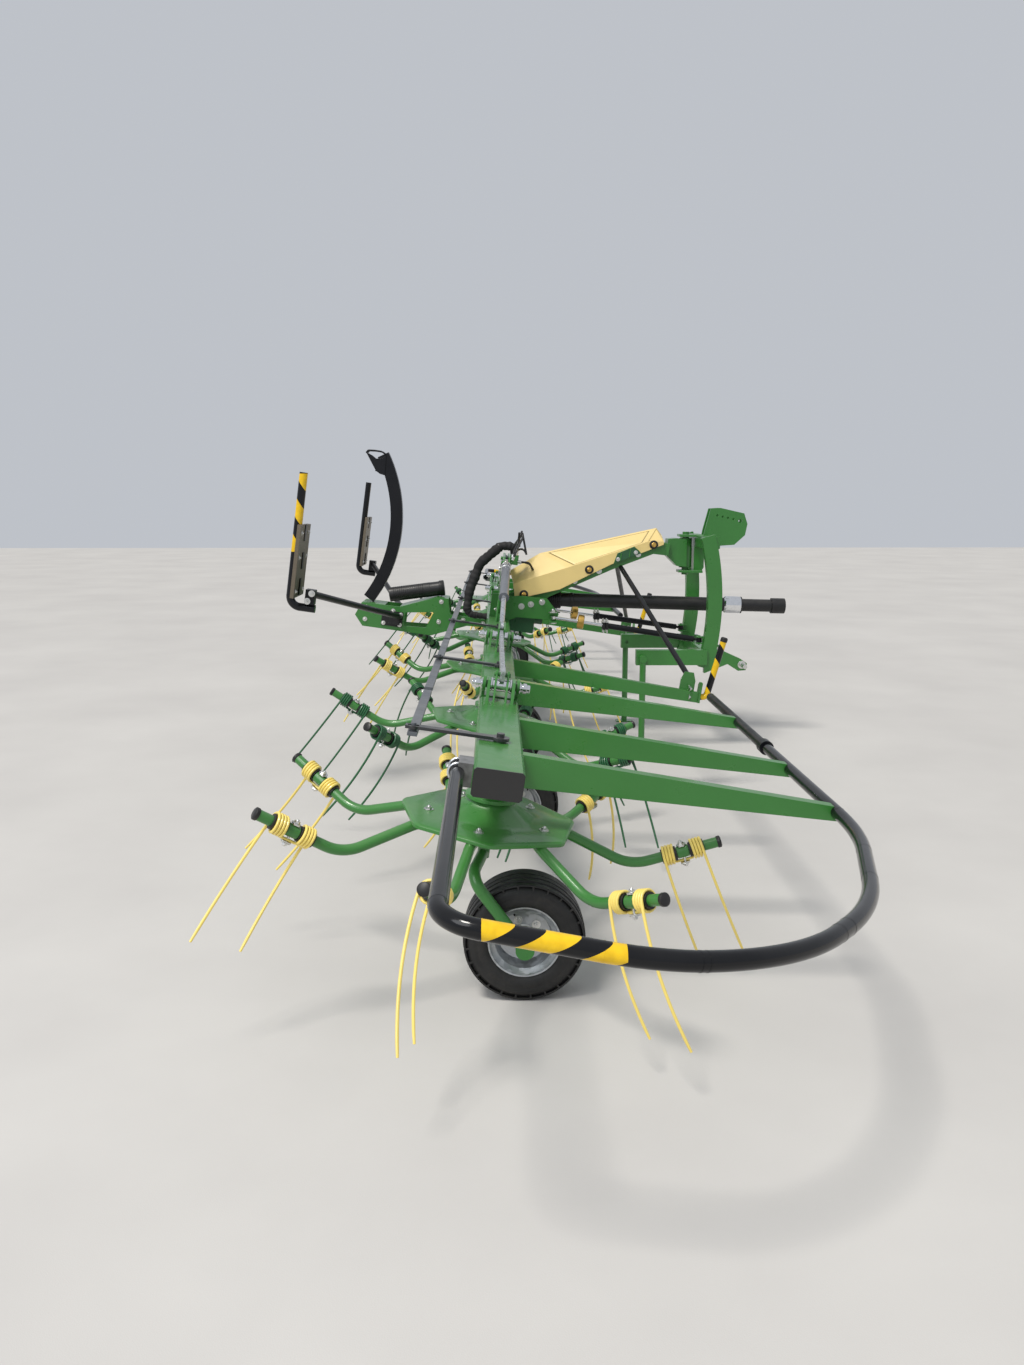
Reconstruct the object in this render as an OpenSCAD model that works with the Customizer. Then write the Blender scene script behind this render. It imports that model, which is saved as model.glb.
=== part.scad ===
// Mounted rotary hay tedder with six tined rotors on a beam in five sections, working position, stands lowered.
// Level frame: X forward, Y to the machine's left, Z up from the ground. The beam, rotors and guards are drawn in
// a tilted frame: x forward along the beam's floor, y left, h up the rotor axis, with h = 0 at the rotor plates.
// Right-hand pieces are the left-hand ones mirrored. All lengths are millimetres and all angles degrees.

/* [Stance] */
// Distance between neighbouring rotor axes
rotor_pitch = 1500; // [1450:10:1600]
// Forward tilt of the beam and the rotors
tilt = 8.3; // [6:0.1:10]
// Height of a rotor plate's centre above the ground
plate_z = 590; // [585:1:610]
// From the rotor axes forward to the middle of the machine's length
origin_x = 437.6; // [430:0.1:445]

/* [Rotors] */
// Tine arms on a rotor
arm_count = 7; // [6:1:7]
// Radius of a rotor plate to its flats
plate_r = 268; // [260:1:276]
// Thickness of the pressed rotor plate
plate_t = 6; // [5:0.5:8]
// Radius of a tine arm's tube
arm_r = 17; // [15:0.5:18]
// Radius of the tine wire
tine_r = 4.75; // [4:0.25:5]
// Turns in a tine's coil
coil_turns = 5; // [4:1:5]
// Angle of the first arm on rotors with anticlockwise sweep
phase_a = 39.6; // [38:0.1:41]
// Angle of the first arm on rotors with clockwise sweep
phase_b = 34; // [32:0.1:36]

/* [Beam] */
// Width of the box beam
beam_w = 150; // [140:1:160]
// Height of the box beam
beam_h = 88; // [80:1:95]
// Height of the beam's underside above the rotor plates
beam_low = 160; // [155:1:170]
// Gap between two beam sections at a hinge
hinge_gap = 40; // [36:1:50]
// Height of a hinge axis above the rotor plates
hinge_h = 298; // [294:1:304]
// Radius of a hinge pin
hinge_pin_r = 15; // [13:0.5:17]
// Length of the last beam section beyond its rotor's axis
tip_over = 360; // [340:5:380]

/* [Wheels] */
// Radius of a tyre
tyre_r = 200; // [196:1:204]
// Width of a tyre
tyre_w = 165; // [155:1:168]
// Wheel axle ahead of the rotor axis, level
wheel_x = 113.5; // [105:0.5:120]
// Wheel's middle outboard of the rotor axis
wheel_out = 40; // [35:1:45]
// Radius of the rim's edge
rim_r = 118; // [112:1:122]
// Radius of the spindle that steers a wheel
spindle_r = 20; // [18:0.5:22]
// Radius of a wheel's axle
axle_r = 12; // [10:0.5:14]

/* [Guards] */
// Radius of the guard tubes
guard_r = 21; // [18:0.5:24]
// Front guard tube ahead of the rotor axis
guard_x = 1085; // [1060:5:1100]
// Height of the front guard tube's axis above the rotor plates
guard_h = 195; // [190:1:205]
// Outer reach of the end bow beyond its rotor's axis
bow_out = 1422; // [1400:1:1440]

/* [Headstock] */
// Swivel axis ahead of the rotor axis, level
swivel_x = 1300; // [1290:1:1310]
// Half the distance between the lower link shoulders
link_half = 412.5; // [405:0.5:415]
// Radius of a lower link pin
link_pin_r = 14; // [11:0.5:15]
// Radius of the upper link's bore
top_bore_r = 12.75; // [10:0.25:13]
// Front end of the drive shaft, level
shaft_front = 1985; // [1960:1:2010]

/* [Hidden] */
$fn = 48;
RIGHT = -1;
LEFT = 1;
eps = 0.01;
run_gap = 0.1;
beam_top = beam_low + beam_h;
rotor_out = [rotor_pitch * 0.5, rotor_pitch * 1.5, rotor_pitch * 2.5];
hinge_out = [rotor_pitch, rotor_pitch * 2];
tip_end = rotor_out[2] + tip_over;
bore_r = spindle_r + run_gap;
// Wheel axle in the tilted frame
axle_x = wheel_x * cos(tilt) - (tyre_r - plate_z) * sin(tilt);
axle_h = wheel_x * sin(tilt) + (tyre_r - plate_z) * cos(tilt);

// Frames
module level() translate([-origin_x, 0, 0]) children();
module tilted() level() translate([0, 0, plate_z]) rotate([0, tilt, 0]) children();
module on_side(s) mirror([0, s < 0 ? 1 : 0, 0]) children();
module both_sides() for (s = [RIGHT, LEFT]) on_side(s) children();
// Puts the children's z axis along d and their origin at p
function unit(v) = v / norm(v);
function across(d) = abs(unit(d)[2]) < 0.9 ? unit(cross([0, 0, 1], d)) : unit(cross([0, 1, 0], d));
module basis(p, x, y, z) multmatrix([
    [x[0], y[0], z[0], p[0]],
    [x[1], y[1], z[1], p[1]],
    [x[2], y[2], z[2], p[2]],
    [0, 0, 0, 1]
]) children();
module along(p, d) basis(p, across(d), cross(unit(d), across(d)), unit(d)) children();
module rod(p, q, r) along(p, q - p) cylinder(h = norm(q - p), r = r);
// A round tube through points, bent round inner points at the radii in bends, with a weld bead at each bend's ends
bead = 0.4;
bead_half = 2;
function way(p, i) = unit(p[i + 1] - p[i]);
function turn(p, i) = acos(way(p, i - 1) * way(p, i));
function setback(p, bends, i) = i == 0 || i == len(p) - 1 ? 0 : bends[i - 1] * tan(turn(p, i) / 2);
module elbow(p, i, radius, r) {
    a = way(p, i - 1);
    n = unit(way(p, i) - a * (way(p, i) * a));
    start = p[i] - a * radius * tan(turn(p, i) / 2);
    end = p[i] + way(p, i) * radius * tan(turn(p, i) / 2);
    trim = 0.5 / radius * 180 / PI;
    basis(start + n * radius, -n, a, cross(-n, a)) rotate([0, 0, trim])
        rotate_extrude(angle = turn(p, i) - 2 * trim) translate([radius, 0]) circle(r = r);
    rod(start - a * bead_half, start + a * bead_half, r + bead);
    rod(end - way(p, i) * bead_half, end + way(p, i) * bead_half, r + bead);
}
module pipe(p, bends, r) {
    for (i = [0 : len(p) - 2]) rod(
        p[i] + way(p, i) * (setback(p, bends, i) + (i == 0 ? 0 : 0.5)),
        p[i + 1] - way(p, i) * (setback(p, bends, i + 1) + (i == len(p) - 2 ? 0 : 0.5)),
        r
    );
    for (i = [1 : 1 : len(p) - 2]) elbow(p, i, bends[i - 1], r);
}
// The same run with a ball at each corner instead of a bend
module mitred(p, r, ball) {
    for (i = [0 : len(p) - 2]) rod(p[i], p[i + 1], r);
    for (i = [1 : 1 : len(p) - 2]) translate(p[i]) sphere(r = ball);
}
// A plate drawn in x and h, from y0 to y1
module side_plate(points, y0, y1) translate([0, y1, 0]) rotate([90, 0, 0])
    linear_extrude(y1 - y0) polygon(points);
// A plate drawn in y and h, from x0 to x1
module cross_plate(points, x0, x1) translate([x0, 0, 0]) rotate([90, 0, 90])
    linear_extrude(x1 - x0) polygon(points);
module bore_x(y, h, r, half) translate([-half, y, h]) rotate([0, 90, 0]) cylinder(h = 2 * half, r = r);

// Beam sections. A box section with chamfered edges from y0 to y1
beam_edge = 8;
module box_beam(y0, y1) {
    w = beam_w / 2;
    side_plate([
        [-w + beam_edge, beam_low], [w - beam_edge, beam_low], [w, beam_low + beam_edge],
        [w, beam_top - beam_edge], [w - beam_edge, beam_top], [-w + beam_edge, beam_top],
        [-w, beam_top - beam_edge], [-w, beam_low + beam_edge]
    ], y0, y1);
}
// Bearing housing between a rotor and the beam, on the rotor's axis
hub_top = 60;
housing_low = hub_top + 0.5;
module housing(y) translate([0, y, housing_low]) rotate_extrude() polygon([
    [0, 0], [86, 0], [86, 12], [66, 16], [62, 60], [74, beam_low + 2 - housing_low], [0, beam_low + 2 - housing_low]
]);
module spindle_bore(y) translate([0, y, housing_low - 1]) cylinder(h = beam_top - housing_low + 2, r = bore_r);

// Hinge between beam sections: outer lugs on the inboard section, inner lugs and the pin on the outboard one
lug_r = 32;
lug_t = 12;
outer_lug_x = 60;
inner_lug_x = 42;
pin_half = 113;
lug_root = 105;
module hinge_lug(x0, dir) {
    cross_plate([
        [0, -lug_r], [0, lug_r], [-dir * 0.55 * lug_root, lug_r * 0.8], [-dir * lug_root, beam_top - hinge_h],
        [-dir * lug_root, beam_top - hinge_h - 14], [-dir * (hinge_gap / 2 + 2), beam_top - hinge_h - 14],
        [-dir * (hinge_gap / 2 + 2), -lug_r]
    ], x0, x0 + lug_t);
    translate([x0, 0, 0]) rotate([0, 90, 0]) cylinder(h = lug_t, r = lug_r);
}
// dir is 1 on the inboard section and -1 on the outboard one
module lug_pair(y, dir, x) translate([0, y, hinge_h]) {
    hinge_lug(x, dir);
    hinge_lug(-x - lug_t, dir);
}
module hinge_pin(y) {
    bore_x(y, hinge_h, hinge_pin_r, pin_half);
    bore_x(y, hinge_h, hinge_pin_r + 9, inner_lug_x + 1);
}
module outer_lugs(y) difference() {
    lug_pair(y, 1, outer_lug_x);
    bore_x(y, hinge_h, hinge_pin_r + run_gap, pin_half + 5);
}

// Front guard carriers: y, top and bottom at the beam, top and bottom at the tube
carrier_t = 44;
CENTRE_CARRIER = [hinge_out[0] - 100, 176, 84, 132, 78];
centre_end = guard_x + 45;
WING_CARRIER = [hinge_out[0] + 980, 240, 134, 212, 166];
TIP_CARRIERS = [for (y = [hinge_out[1] + 300, rotor_out[2] + 80]) [y, 240, 134, 212, 166]];
module carrier(c, x0, x1) side_plate([[x0, c[1]], [x0, c[2]], [x1, c[4]], [x1, c[3]]],
    c[0] - carrier_t / 2, c[0] + carrier_t / 2);
module tube_saddle(c) {
    difference() {
        carrier(c, beam_w / 2 - eps, guard_x + 8);
        translate([guard_x, c[0] - carrier_t, guard_h]) rotate([-90, 0, 0])
            cylinder(h = 2 * carrier_t, r = guard_r + run_gap);
    }
}

// Lugs on the beam's top that take the lift cylinder's eye and the fold link
lift_y = hinge_out[0] + 120;
lift_h = 360;
link_h = 341;
link_y = hinge_out[0] + 200;
eye_half = 9;
lift_plate_t = 8;
module lift_lugs() for (s = [-1, 1]) translate([s > 0 ? eye_half + 1 : -eye_half - 1 - lift_plate_t, 0, 0])
    cross_plate([
        [lift_y - 50, beam_top - 2], [lift_y - 50, beam_top + 40], [lift_y - 22, lift_h + 30],
        [lift_y + 22, lift_h + 30], [link_y + 40, link_h + 26], [link_y + 40, beam_top + 20],
        [link_y + 90, beam_top - 2]
    ], 0, lift_plate_t);

// Centre section
strut_x = centre_end - 62;
strut_h = 210;
lug_plate = carrier_t / 2 + 8;
module d_strut() rod([760, 118, 694], [strut_x, CENTRE_CARRIER[0] - lug_plate - 6.5, strut_h], 15);
module strut_lug() side_plate([
    [strut_x - 40, 95], [strut_x - 40, strut_h - 20], [strut_x - 24, strut_h + 24], [strut_x + 26, strut_h + 24],
    [strut_x + 42, strut_h - 20], [strut_x + 42, 95]
], CENTRE_CARRIER[0] - lug_plate, CENTRE_CARRIER[0] - carrier_t / 2 + eps);
module centre_beam() color("forestgreen") tilted() {
    difference() {
        union() {
            box_beam(-hinge_out[0] + hinge_gap / 2, hinge_out[0] - hinge_gap / 2);
            both_sides() {
                housing(rotor_out[0]);
                carrier(CENTRE_CARRIER, 0, centre_end);
                strut_lug();
                translate([0, CENTRE_CARRIER[0], 0])
                    cross_plate([[-32, 78], [-32, 172], [-10, 190], [32, 190], [32, 78]],
                        centre_end - eps, centre_end + 12);
            }
        }
        both_sides() spindle_bore(rotor_out[0]);
    }
    both_sides() outer_lugs(hinge_out[0]);
}

// Wing section, between the first and second hinge
module wing_beam(s) color("forestgreen") tilted() on_side(s) {
    difference() {
        union() {
            box_beam(hinge_out[0] + hinge_gap / 2, hinge_out[1] - hinge_gap / 2);
            housing(rotor_out[1]);
            tube_saddle(WING_CARRIER);
            lift_lugs();
        }
        spindle_bore(rotor_out[1]);
    }
    lug_pair(hinge_out[0], -1, inner_lug_x);
    hinge_pin(hinge_out[0]);
    outer_lugs(hinge_out[1]);
}

// Outermost section
link_pin_lift = link_h - hinge_h;
module link_lugs() {
    y = hinge_out[1];
    for (s = [-1, 1]) translate([s > 0 ? 19 : -27, 0, 0]) {
        cross_plate([
            [y, link_h - 17], [y, link_h + 17], [y + 70, beam_top + 40], [y + 110, beam_top - 2],
            [y + 40, beam_top - 2]
        ], 0, 8);
        translate([0, y, link_h]) rotate([0, 90, 0]) cylinder(h = 8, r = 17);
    }
    bore_x(y, link_h, 9, 32);
}
module tip_beam(s) color("forestgreen") tilted() on_side(s) {
    difference() {
        union() {
            box_beam(hinge_out[1] + hinge_gap / 2, tip_end);
            housing(rotor_out[2]);
            for (c = TIP_CARRIERS) tube_saddle(c);
            link_lugs();
            side_plate([[-beam_w / 2 - 46, 168], [-beam_w / 2 + eps, 168], [-beam_w / 2 + eps, 240],
                [-beam_w / 2 - 46, 240]], tip_end - 150, tip_end - 60);
        }
        spindle_bore(rotor_out[2]);
        translate([-beam_w / 2 - 46, tip_end - 160, 206]) rotate([-90, 0, 0]) cylinder(h = 120, r = guard_r + run_gap);
    }
    lug_pair(hinge_out[1], -1, inner_lug_x);
    hinge_pin(hinge_out[1]);
}

// Guard tubes
guard_gap = 20;
module wing_guard(s) color("dimgray") tilted() on_side(s) {
    pipe([[guard_x, hinge_out[0] + 405, guard_h], [guard_x, hinge_out[1] - guard_gap / 2, guard_h]], [], guard_r);
    translate([guard_x, hinge_out[1] - guard_gap / 2 - 50, guard_h]) rotate([-90, 0, 0])
        cylinder(h = 50, r = guard_r + 8);
}
// The end bow runs round the outermost rotor and back to the beam's rear face
bow_rear_x = -beam_w / 2 - 46;
bow_rear_h = 206;
// Corners of the bow: ahead of the rotor axis, outboard of the outer rotor's axis, height, bend radius
BOW = [
    [guard_x, 310, guard_h, 1300],
    [guard_x - 190, 940, guard_h + 4, 1150],
    [guard_x - 485, bow_out - 92, guard_h + 8, 700],
    [guard_x - 785, bow_out, guard_h + 10, 500],
    [bow_rear_x, bow_out - 46, bow_rear_h, 95]
];
module tip_guard(s) color("dimgray") tilted() on_side(s) {
    pipe(
        concat(
            [[guard_x, hinge_out[1] + guard_gap / 2, guard_h]],
            [for (c = BOW) [c[0], rotor_out[2] + c[1], c[2]]],
            [[bow_rear_x, tip_end - 156, bow_rear_h]]
        ),
        [for (c = BOW) c[3]],
        guard_r
    );
}

// Rotors
ARM = [
    [100, 87, -plate_t / 2 - arm_r + 2],
    [233, 54, -plate_t / 2 - arm_r + 2],
    [473, 121, -111],
    [738, 163, 13]
];
ARM_BENDS = [110, 150];
arm_way = way(ARM, 2);
// Distance of each coil's middle along the arm's last straight, from the lower bend's corner
INNER_COIL = 132;
OUTER_COIL = 224;
// Room that the coils leave around the arm, and how far a tine bows back between its ends
coil_gap = 8;
tine_bow = 20;
coil_r = arm_r + coil_gap + 2 * tine_r;
coil_pitch = 2 * tine_r;
// Tines: coil distance, tip radius, tip sweep, tip height
TINES = [[INNER_COIL, 747, 198, -398], [OUTER_COIL, 890, 225, -359]];
module coil() {
    wave = 0.35 * tine_r;
    half = coil_turns * coil_pitch / 2;
    rotate_extrude() polygon(concat(
        [[arm_r - 1, -half]],
        [for (i = [0 : coil_turns - 1], k = [0 : 3]) [
            coil_r - (k == 0 || k == 3 ? wave : 0),
            -half + (i + [0.02, 0.3, 0.7, 0.98][k]) * coil_pitch
        ]],
        [[arm_r - 1, half]]
    ));
}
module tine(t) {
    middle = ARM[2] + arm_way * t[0];
    tip = [t[1], t[2], t[3]];
    fall = unit(tip - middle - arm_way * ((tip - middle) * arm_way));
    top = middle + cross(fall, arm_way) * (coil_r - tine_r - 0.4);
    knee = (top + tip) / 2 - [0, tine_bow, 0];
    along(middle, arm_way) coil();
    mitred([top, knee, tip], tine_r, tine_r + 0.3);
}
module arm() {
    pipe(ARM, ARM_BENDS, arm_r);
    for (t = TINES) tine(t);
    rod(ARM[2] + arm_way * (INNER_COIL + 27), ARM[2] + arm_way * (OUTER_COIL - 27), arm_r + 3);
    rod(ARM[3] - arm_way * 2, ARM[3] + arm_way * 12, arm_r + 2.5);
}
// Seven-sided pressed plate with rounded corners
corner_r = 46;
corner_steps = 4;
function plate_points(grow) = [
    for (i = [0 : arm_count - 1], k = [0 : corner_steps])
        let (
            a = (i + 0.5) * 360 / arm_count,
            b = a + (k / corner_steps - 0.5) * 360 / arm_count,
            c = (plate_r + grow - corner_r) / cos(180 / arm_count)
        ) [c * cos(a) + corner_r * cos(b), c * sin(a) + corner_r * sin(b)]
];
module plate() {
    translate([0, 0, -plate_t / 2]) linear_extrude(plate_t) polygon(plate_points(0));
    translate([0, 0, -plate_t / 2 - 10]) linear_extrude(11) difference() {
        polygon(plate_points(0));
        polygon(plate_points(-6));
    }
    rotate_extrude() polygon([
        [0, -40], [58, -40], [66, -plate_t / 2 + 1], [150, -plate_t / 2 + 1], [150, plate_t / 2],
        [96, 40], [78, hub_top], [0, hub_top]
    ]);
}
function sweep_of(k) = k % 2 == 1 ? 1 : -1;
function rotor_y(k) = (k - 3.5) * rotor_pitch;
module rotor_body() difference() {
    union() {
        plate();
        for (i = [0 : arm_count - 1]) rotate([0, 0, i * 360 / arm_count]) arm();
    }
    translate([0, 0, -60]) cylinder(h = hub_top + 80, r = bore_r);
}
module rotor(k) color(sweep_of(k) > 0 ? "gold" : "darkgreen") tilted() translate([0, rotor_y(k), 0])
    if (sweep_of(k) > 0) rotate([0, 0, phase_a]) rotor_body();
    else rotate([0, 0, phase_b]) mirror([0, 1, 0]) rotor_body();

// Wheel legs: spindle, steering lever at the top and cranked tube down to the axle
lever_x = 280;
lever_low = beam_top + 6;
lever_t = 10;
slot_half = 18;
tie_pin_r = 8;
crank_out = wheel_out + tyre_w / 2 + 32;
function side_of(k) = k < 3.5 ? RIGHT : LEFT;
function out_of(k) = abs(rotor_y(k));
module lever() difference() {
    union() {
        translate([0, 0, lever_low]) cylinder(h = lever_t, r = 30);
        translate([-lever_x, 0, lever_low]) cylinder(h = lever_t, r = 22);
        translate([-lever_x, -17, lever_low]) cube([lever_x, 34, lever_t]);
        translate([-lever_x - 26, -17, lever_low]) cube([40, 34, lever_t]);
    }
    translate([-lever_x - slot_half, -tie_pin_r - 0.8, lever_low - 1])
        cube([2 * slot_half, 2 * tie_pin_r + 1.6, lever_t + 2]);
}
module leg(k) color("green") tilted() on_side(side_of(k)) translate([0, out_of(k), 0]) {
    translate([0, 0, -140]) cylinder(h = lever_low + lever_t + 140, r = spindle_r);
    translate([0, 0, lever_low + lever_t]) cylinder(h = 12, r = 13);
    lever();
    pipe([[0, 0, -125], [-34, crank_out, -160], [axle_x, crank_out, axle_h]], [60], 19);
    translate([axle_x, crank_out + 24, axle_h]) rotate([90, 0, 0]) cylinder(h = 48, r = 30);
    translate([axle_x, crank_out, axle_h]) rotate([90, 0, 0])
        cylinder(h = crank_out - wheel_out + 62, r = axle_r);
}

// Wheels: ribbed tyre on a dished rim
hub_half = 52;
RIBS = [-0.36, -0.12, 0.12, 0.36];
module tyre() {
    w = tyre_w / 2;
    rotate_extrude() polygon([
        [rim_r - 4, -w + 22], [rim_r + 10, -w + 6], [tyre_r - 42, -w], [tyre_r - 16, -w + 8], [tyre_r - 5, -w + 22],
        for (g = RIBS) each [
            [tyre_r, g * tyre_w - 7], [tyre_r, g * tyre_w + 7],
            [tyre_r - 5, g * tyre_w + 9], [tyre_r - 5, g * tyre_w + (g < 0.3 ? 18 : 10)]
        ],
        [tyre_r - 16, w - 8], [tyre_r - 42, w], [rim_r + 10, w - 6], [rim_r - 4, w - 22]
    ]);
}
module rim() {
    w = tyre_w / 2;
    difference() {
        rotate_extrude() polygon([
            [0, -hub_half], [30, -hub_half], [34, -16], [74, -10], [96, -34], [96, -w + 26], [rim_r - 3, -w + 20],
            [rim_r - 3, w - 20], [96, w - 26], [88, 8], [74, 4], [34, 4], [30, hub_half], [0, hub_half]
        ]);
        translate([0, 0, -hub_half - 1]) cylinder(h = 2 * hub_half + 2, r = axle_r + run_gap);
    }
}
module wheel(k) level() on_side(side_of(k)) translate([wheel_x, out_of(k) + wheel_out, tyre_r])
    rotate([-90, 0, 0]) {
        color("black") tyre();
        color("silver") rim();
    }

// Tie bars between the steering levers, each with pins up through the levers' slots
tie_w = 32;
tie_t = 12;
tie_h = lever_low - 8 - tie_t;
tie_gap = 60;
module tie_pin(y) translate([-lever_x, y, tie_h]) {
    cylinder(h = lever_low + lever_t + 8 - tie_h, r = tie_pin_r);
    cylinder(h = lever_low - 0.5 - tie_h, r = 12);
}
module tie_bar(y0, y1) translate([-lever_x - tie_w / 2, y0, tie_h]) cube([tie_w, y1 - y0, tie_t]);
module tie_centre() color("dimgray") tilted() {
    tie_bar(-hinge_out[0] + tie_gap / 2, hinge_out[0] - tie_gap / 2);
    both_sides() tie_pin(rotor_out[0]);
}
module tie_wing(s) color("dimgray") tilted() on_side(s) {
    tie_bar(hinge_out[0] + tie_gap / 2, hinge_out[1] - tie_gap / 2);
    tie_pin(rotor_out[1]);
}
module tie_tip(s) color("dimgray") tilted() on_side(s) {
    tie_bar(hinge_out[1] + tie_gap / 2, rotor_out[2] + 30);
    tie_pin(rotor_out[2]);
}

// Lift cylinders from the tower to the wing sections, drawn in a frame that runs from the tower's pin
tower_y = 280;
tower_h = 620;
tower_pin_r = 12;
LIFT_FROM = [0, tower_y, tower_h];
hose_h = 676;
LIFT_TO = [0, lift_y, lift_h];
lift_span = norm(LIFT_TO - LIFT_FROM);
barrel_r = 27;
barrel_bore = 21;
barrel_len = 800;
rod_r = 14;
module eye(pin) difference() {
    bore_x(0, 0, 26, eye_half);
    bore_x(0, 0, pin + run_gap, eye_half + 1);
}
// Children run from a clevis pin at the origin along +z
module lift_frame() translate(LIFT_FROM) rotate([0, 0, 0])
    basis([0, 0, 0], [1, 0, 0], cross(unit(LIFT_TO - LIFT_FROM), [1, 0, 0]), unit(LIFT_TO - LIFT_FROM)) children();
module lift_barrel(s) color("dimgray") tilted() on_side(s) lift_frame() {
    eye(tower_pin_r);
    difference() {
        union() {
            translate([0, 0, 64]) cylinder(h = barrel_len - 64, r = barrel_r);
            translate([-eye_half, -15, 20]) cube([2 * eye_half, 30, 50]);
        }
        translate([0, 0, 84]) cylinder(h = barrel_len, r = barrel_bore);
    }
    difference() {
        translate([0, 0, barrel_len - 14]) cylinder(h = 14, r = barrel_r + 3);
        translate([0, 0, barrel_len - 20]) cylinder(h = 30, r = rod_r + run_gap);
    }
}
module lift_rod(s) color("silver") tilted() on_side(s) lift_frame() {
    translate([0, 0, 330]) cylinder(h = 40, r = barrel_bore - run_gap);
    translate([0, 0, 330]) cylinder(h = lift_span - 330 - 40, r = rod_r);
    translate([-eye_half, -12, lift_span - 44]) cube([2 * eye_half, 24, 30]);
    translate([0, 0, lift_span]) bore_x(0, 0, 26, eye_half);
}
// Galvanised link above the wing section, slotted at its outer end round the last section's pin
link_slot = 30;
module fold_link(s) color("silver") tilted() on_side(s) difference() {
    union() {
        translate([-eye_half, link_y, link_h - 15]) cube([2 * eye_half, hinge_out[1] - 40 - link_y, 30]);
        translate([-eye_half, hinge_out[1] - 60, link_h - 18]) cube([2 * eye_half, 106, 40]);
        bore_x(link_y, link_h, 15, eye_half);
    }
    translate([-eye_half - 1, hinge_out[1] - link_slot, link_h - 13]) cube([2 * eye_half + 2, 2 * link_slot, 26]);
}

// Tower that carries both lift cylinders
module tower() color("forestgreen") tilted() {
    for (s = [-1, 1]) translate([s > 0 ? eye_half + 1.5 : -eye_half - 11.5, 0, 0]) difference() {
        cross_plate([
            [-400, beam_top], [-tower_y - 44, tower_h + 10], [-tower_y, tower_h + 40], [tower_y, tower_h + 40],
            [tower_y + 44, tower_h + 10], [400, beam_top], [250, beam_top], [190, 420], [90, tower_h - 40],
            [-90, tower_h - 40], [-190, 420], [-250, beam_top]
        ], 0, 10);
    }
    both_sides() bore_x(tower_y, tower_h, tower_pin_r, 34);
    for (h = [-1, 1]) both_sides()
        translate([-12, 345, beam_top]) cube([24, 40, 50]);
    translate([20, -190, tower_h - 8]) cube([56, 80, hose_h - tower_h + 8]);
}

// Central gearbox ahead of the beam, with its input stub towards the drive shaft
box_front = 300;
module gearbox() color("darkgreen") tilted() {
    translate([beam_w / 2 + run_gap, -105, 170]) cube([170, 210, 150]);
    translate([beam_w / 2 + 165, 0, 300]) rotate([0, 90, 0]) cylinder(h = 60, r = 72);
    translate([160, 0, 318]) cylinder(h = 50, r = 62);
}

// Drawbar: two side walls and a floor that climb from the beam to the swivel sleeve
bar_half = 118;
BAR_LOW = [[-60, beam_top + 0.3], [75, beam_top + 0.3], [112, 276], [330, 440], [700, 668], [960, 812], [1060, 815]];
BAR_HIGH = [[1060, 896], [940, 890], [700, 760], [380, 560], [60, 420], [-60, 400]];
bar_wall = 8;
damper_root = [393, 270, 849];
// The hood's half width and sheet, and the x and h of the lugs beside the drawbar that it is bolted to
hood_half = 150;
hood_t = 4;
HOOD_LUGS = [[420, 552], [850, 818]];
module drawbar() color("forestgreen") {
    tilted() {
        both_sides() for (lug = HOOD_LUGS)
            translate([lug[0] - 15, bar_half - 1, lug[1] - 15])
                cube([30, hood_half - hood_t - 0.3 - bar_half + 1, 30]);
        both_sides() {
            side_plate(concat(BAR_LOW, BAR_HIGH), bar_half - bar_wall, bar_half);
            side_plate([[21, beam_top + 0.3], [21, 400], [130, 420], [300, 425], [392, 335], [380, 290], [120, 275],
                [74, beam_top + 0.3]], 196, 204);
            side_plate([[21, beam_top + 0.3], [21, 400], [60, 400], [60, beam_top + 0.3]], bar_half - 1, 200);
        }
        side_plate([[560, 582], [700, 668], [960, 812], [1060, 815], [1060, 823], [956, 820], [696, 676],
            [556, 590]], -bar_half, bar_half);
        side_plate([[370, 500], [378, 500], [378, 556], [370, 552]], -bar_half, bar_half);
        side_plate([[930, 815], [930, 884], [1060, 896], [1060, 815]], -bar_half, bar_half);
    }
    level() both_sides() for (z = [damper_root[2] - 32, damper_root[2] + 24])
        translate([damper_root[0] - 22, 198, z]) cube([44, damper_root[1] + 22 - 198, 8]);
    level() difference() {
        union() {
            translate([swivel_x, 0, 1160]) cylinder(h = 196, r = 42);
            side_plate([[1160, 1246], [1174, 1352], [1230, 1356], [swivel_x, 1350], [swivel_x, 1166], [1235, 1172]],
                -60, 60);
        }
        translate([swivel_x, 0, 1100]) cylinder(h = 300, r = 22 + run_gap);
    }
}

// Two-flank sheet hood over the drawbar: ridge, crease and skirt lines in x and h
RIDGE = [[36, 560], [220, 705], [968, 983], [1012, 940]];
CREASE = [[69, 485], [400, 640], [904, 887], [1012, 900]];
SKIRT = [[91, 385], [376, 492], [689, 704], [1012, 882]];
// Rows of four points round the hood's section: right skirt over the ridge to the left skirt, and back inside
HOOD_ROWS = [[SKIRT, -1, 0, 0], [CREASE, -1, 0, 0], [RIDGE, 0, 0, 0], [CREASE, 1, 0, 0], [SKIRT, 1, 0, 0],
    [SKIRT, 1, hood_t, 0], [CREASE, 1, hood_t, 3], [RIDGE, 0, 0, 5], [CREASE, -1, hood_t, 3], [SKIRT, -1, hood_t, 0]];
hood_rows = len(HOOD_ROWS);
function strip(a, b) = [for (i = [0 : 2]) each [
    [4 * a + i, 4 * b + i, 4 * b + i + 1],
    [4 * a + i, 4 * b + i + 1, 4 * a + i + 1]
]];
function cap(i) = [for (k = [0 : 3]) each [
    [4 * k + i, 4 * (k + 1) + i, 4 * (hood_rows - 2 - k) + i],
    [4 * k + i, 4 * (hood_rows - 2 - k) + i, 4 * (hood_rows - 1 - k) + i]
]];
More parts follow.
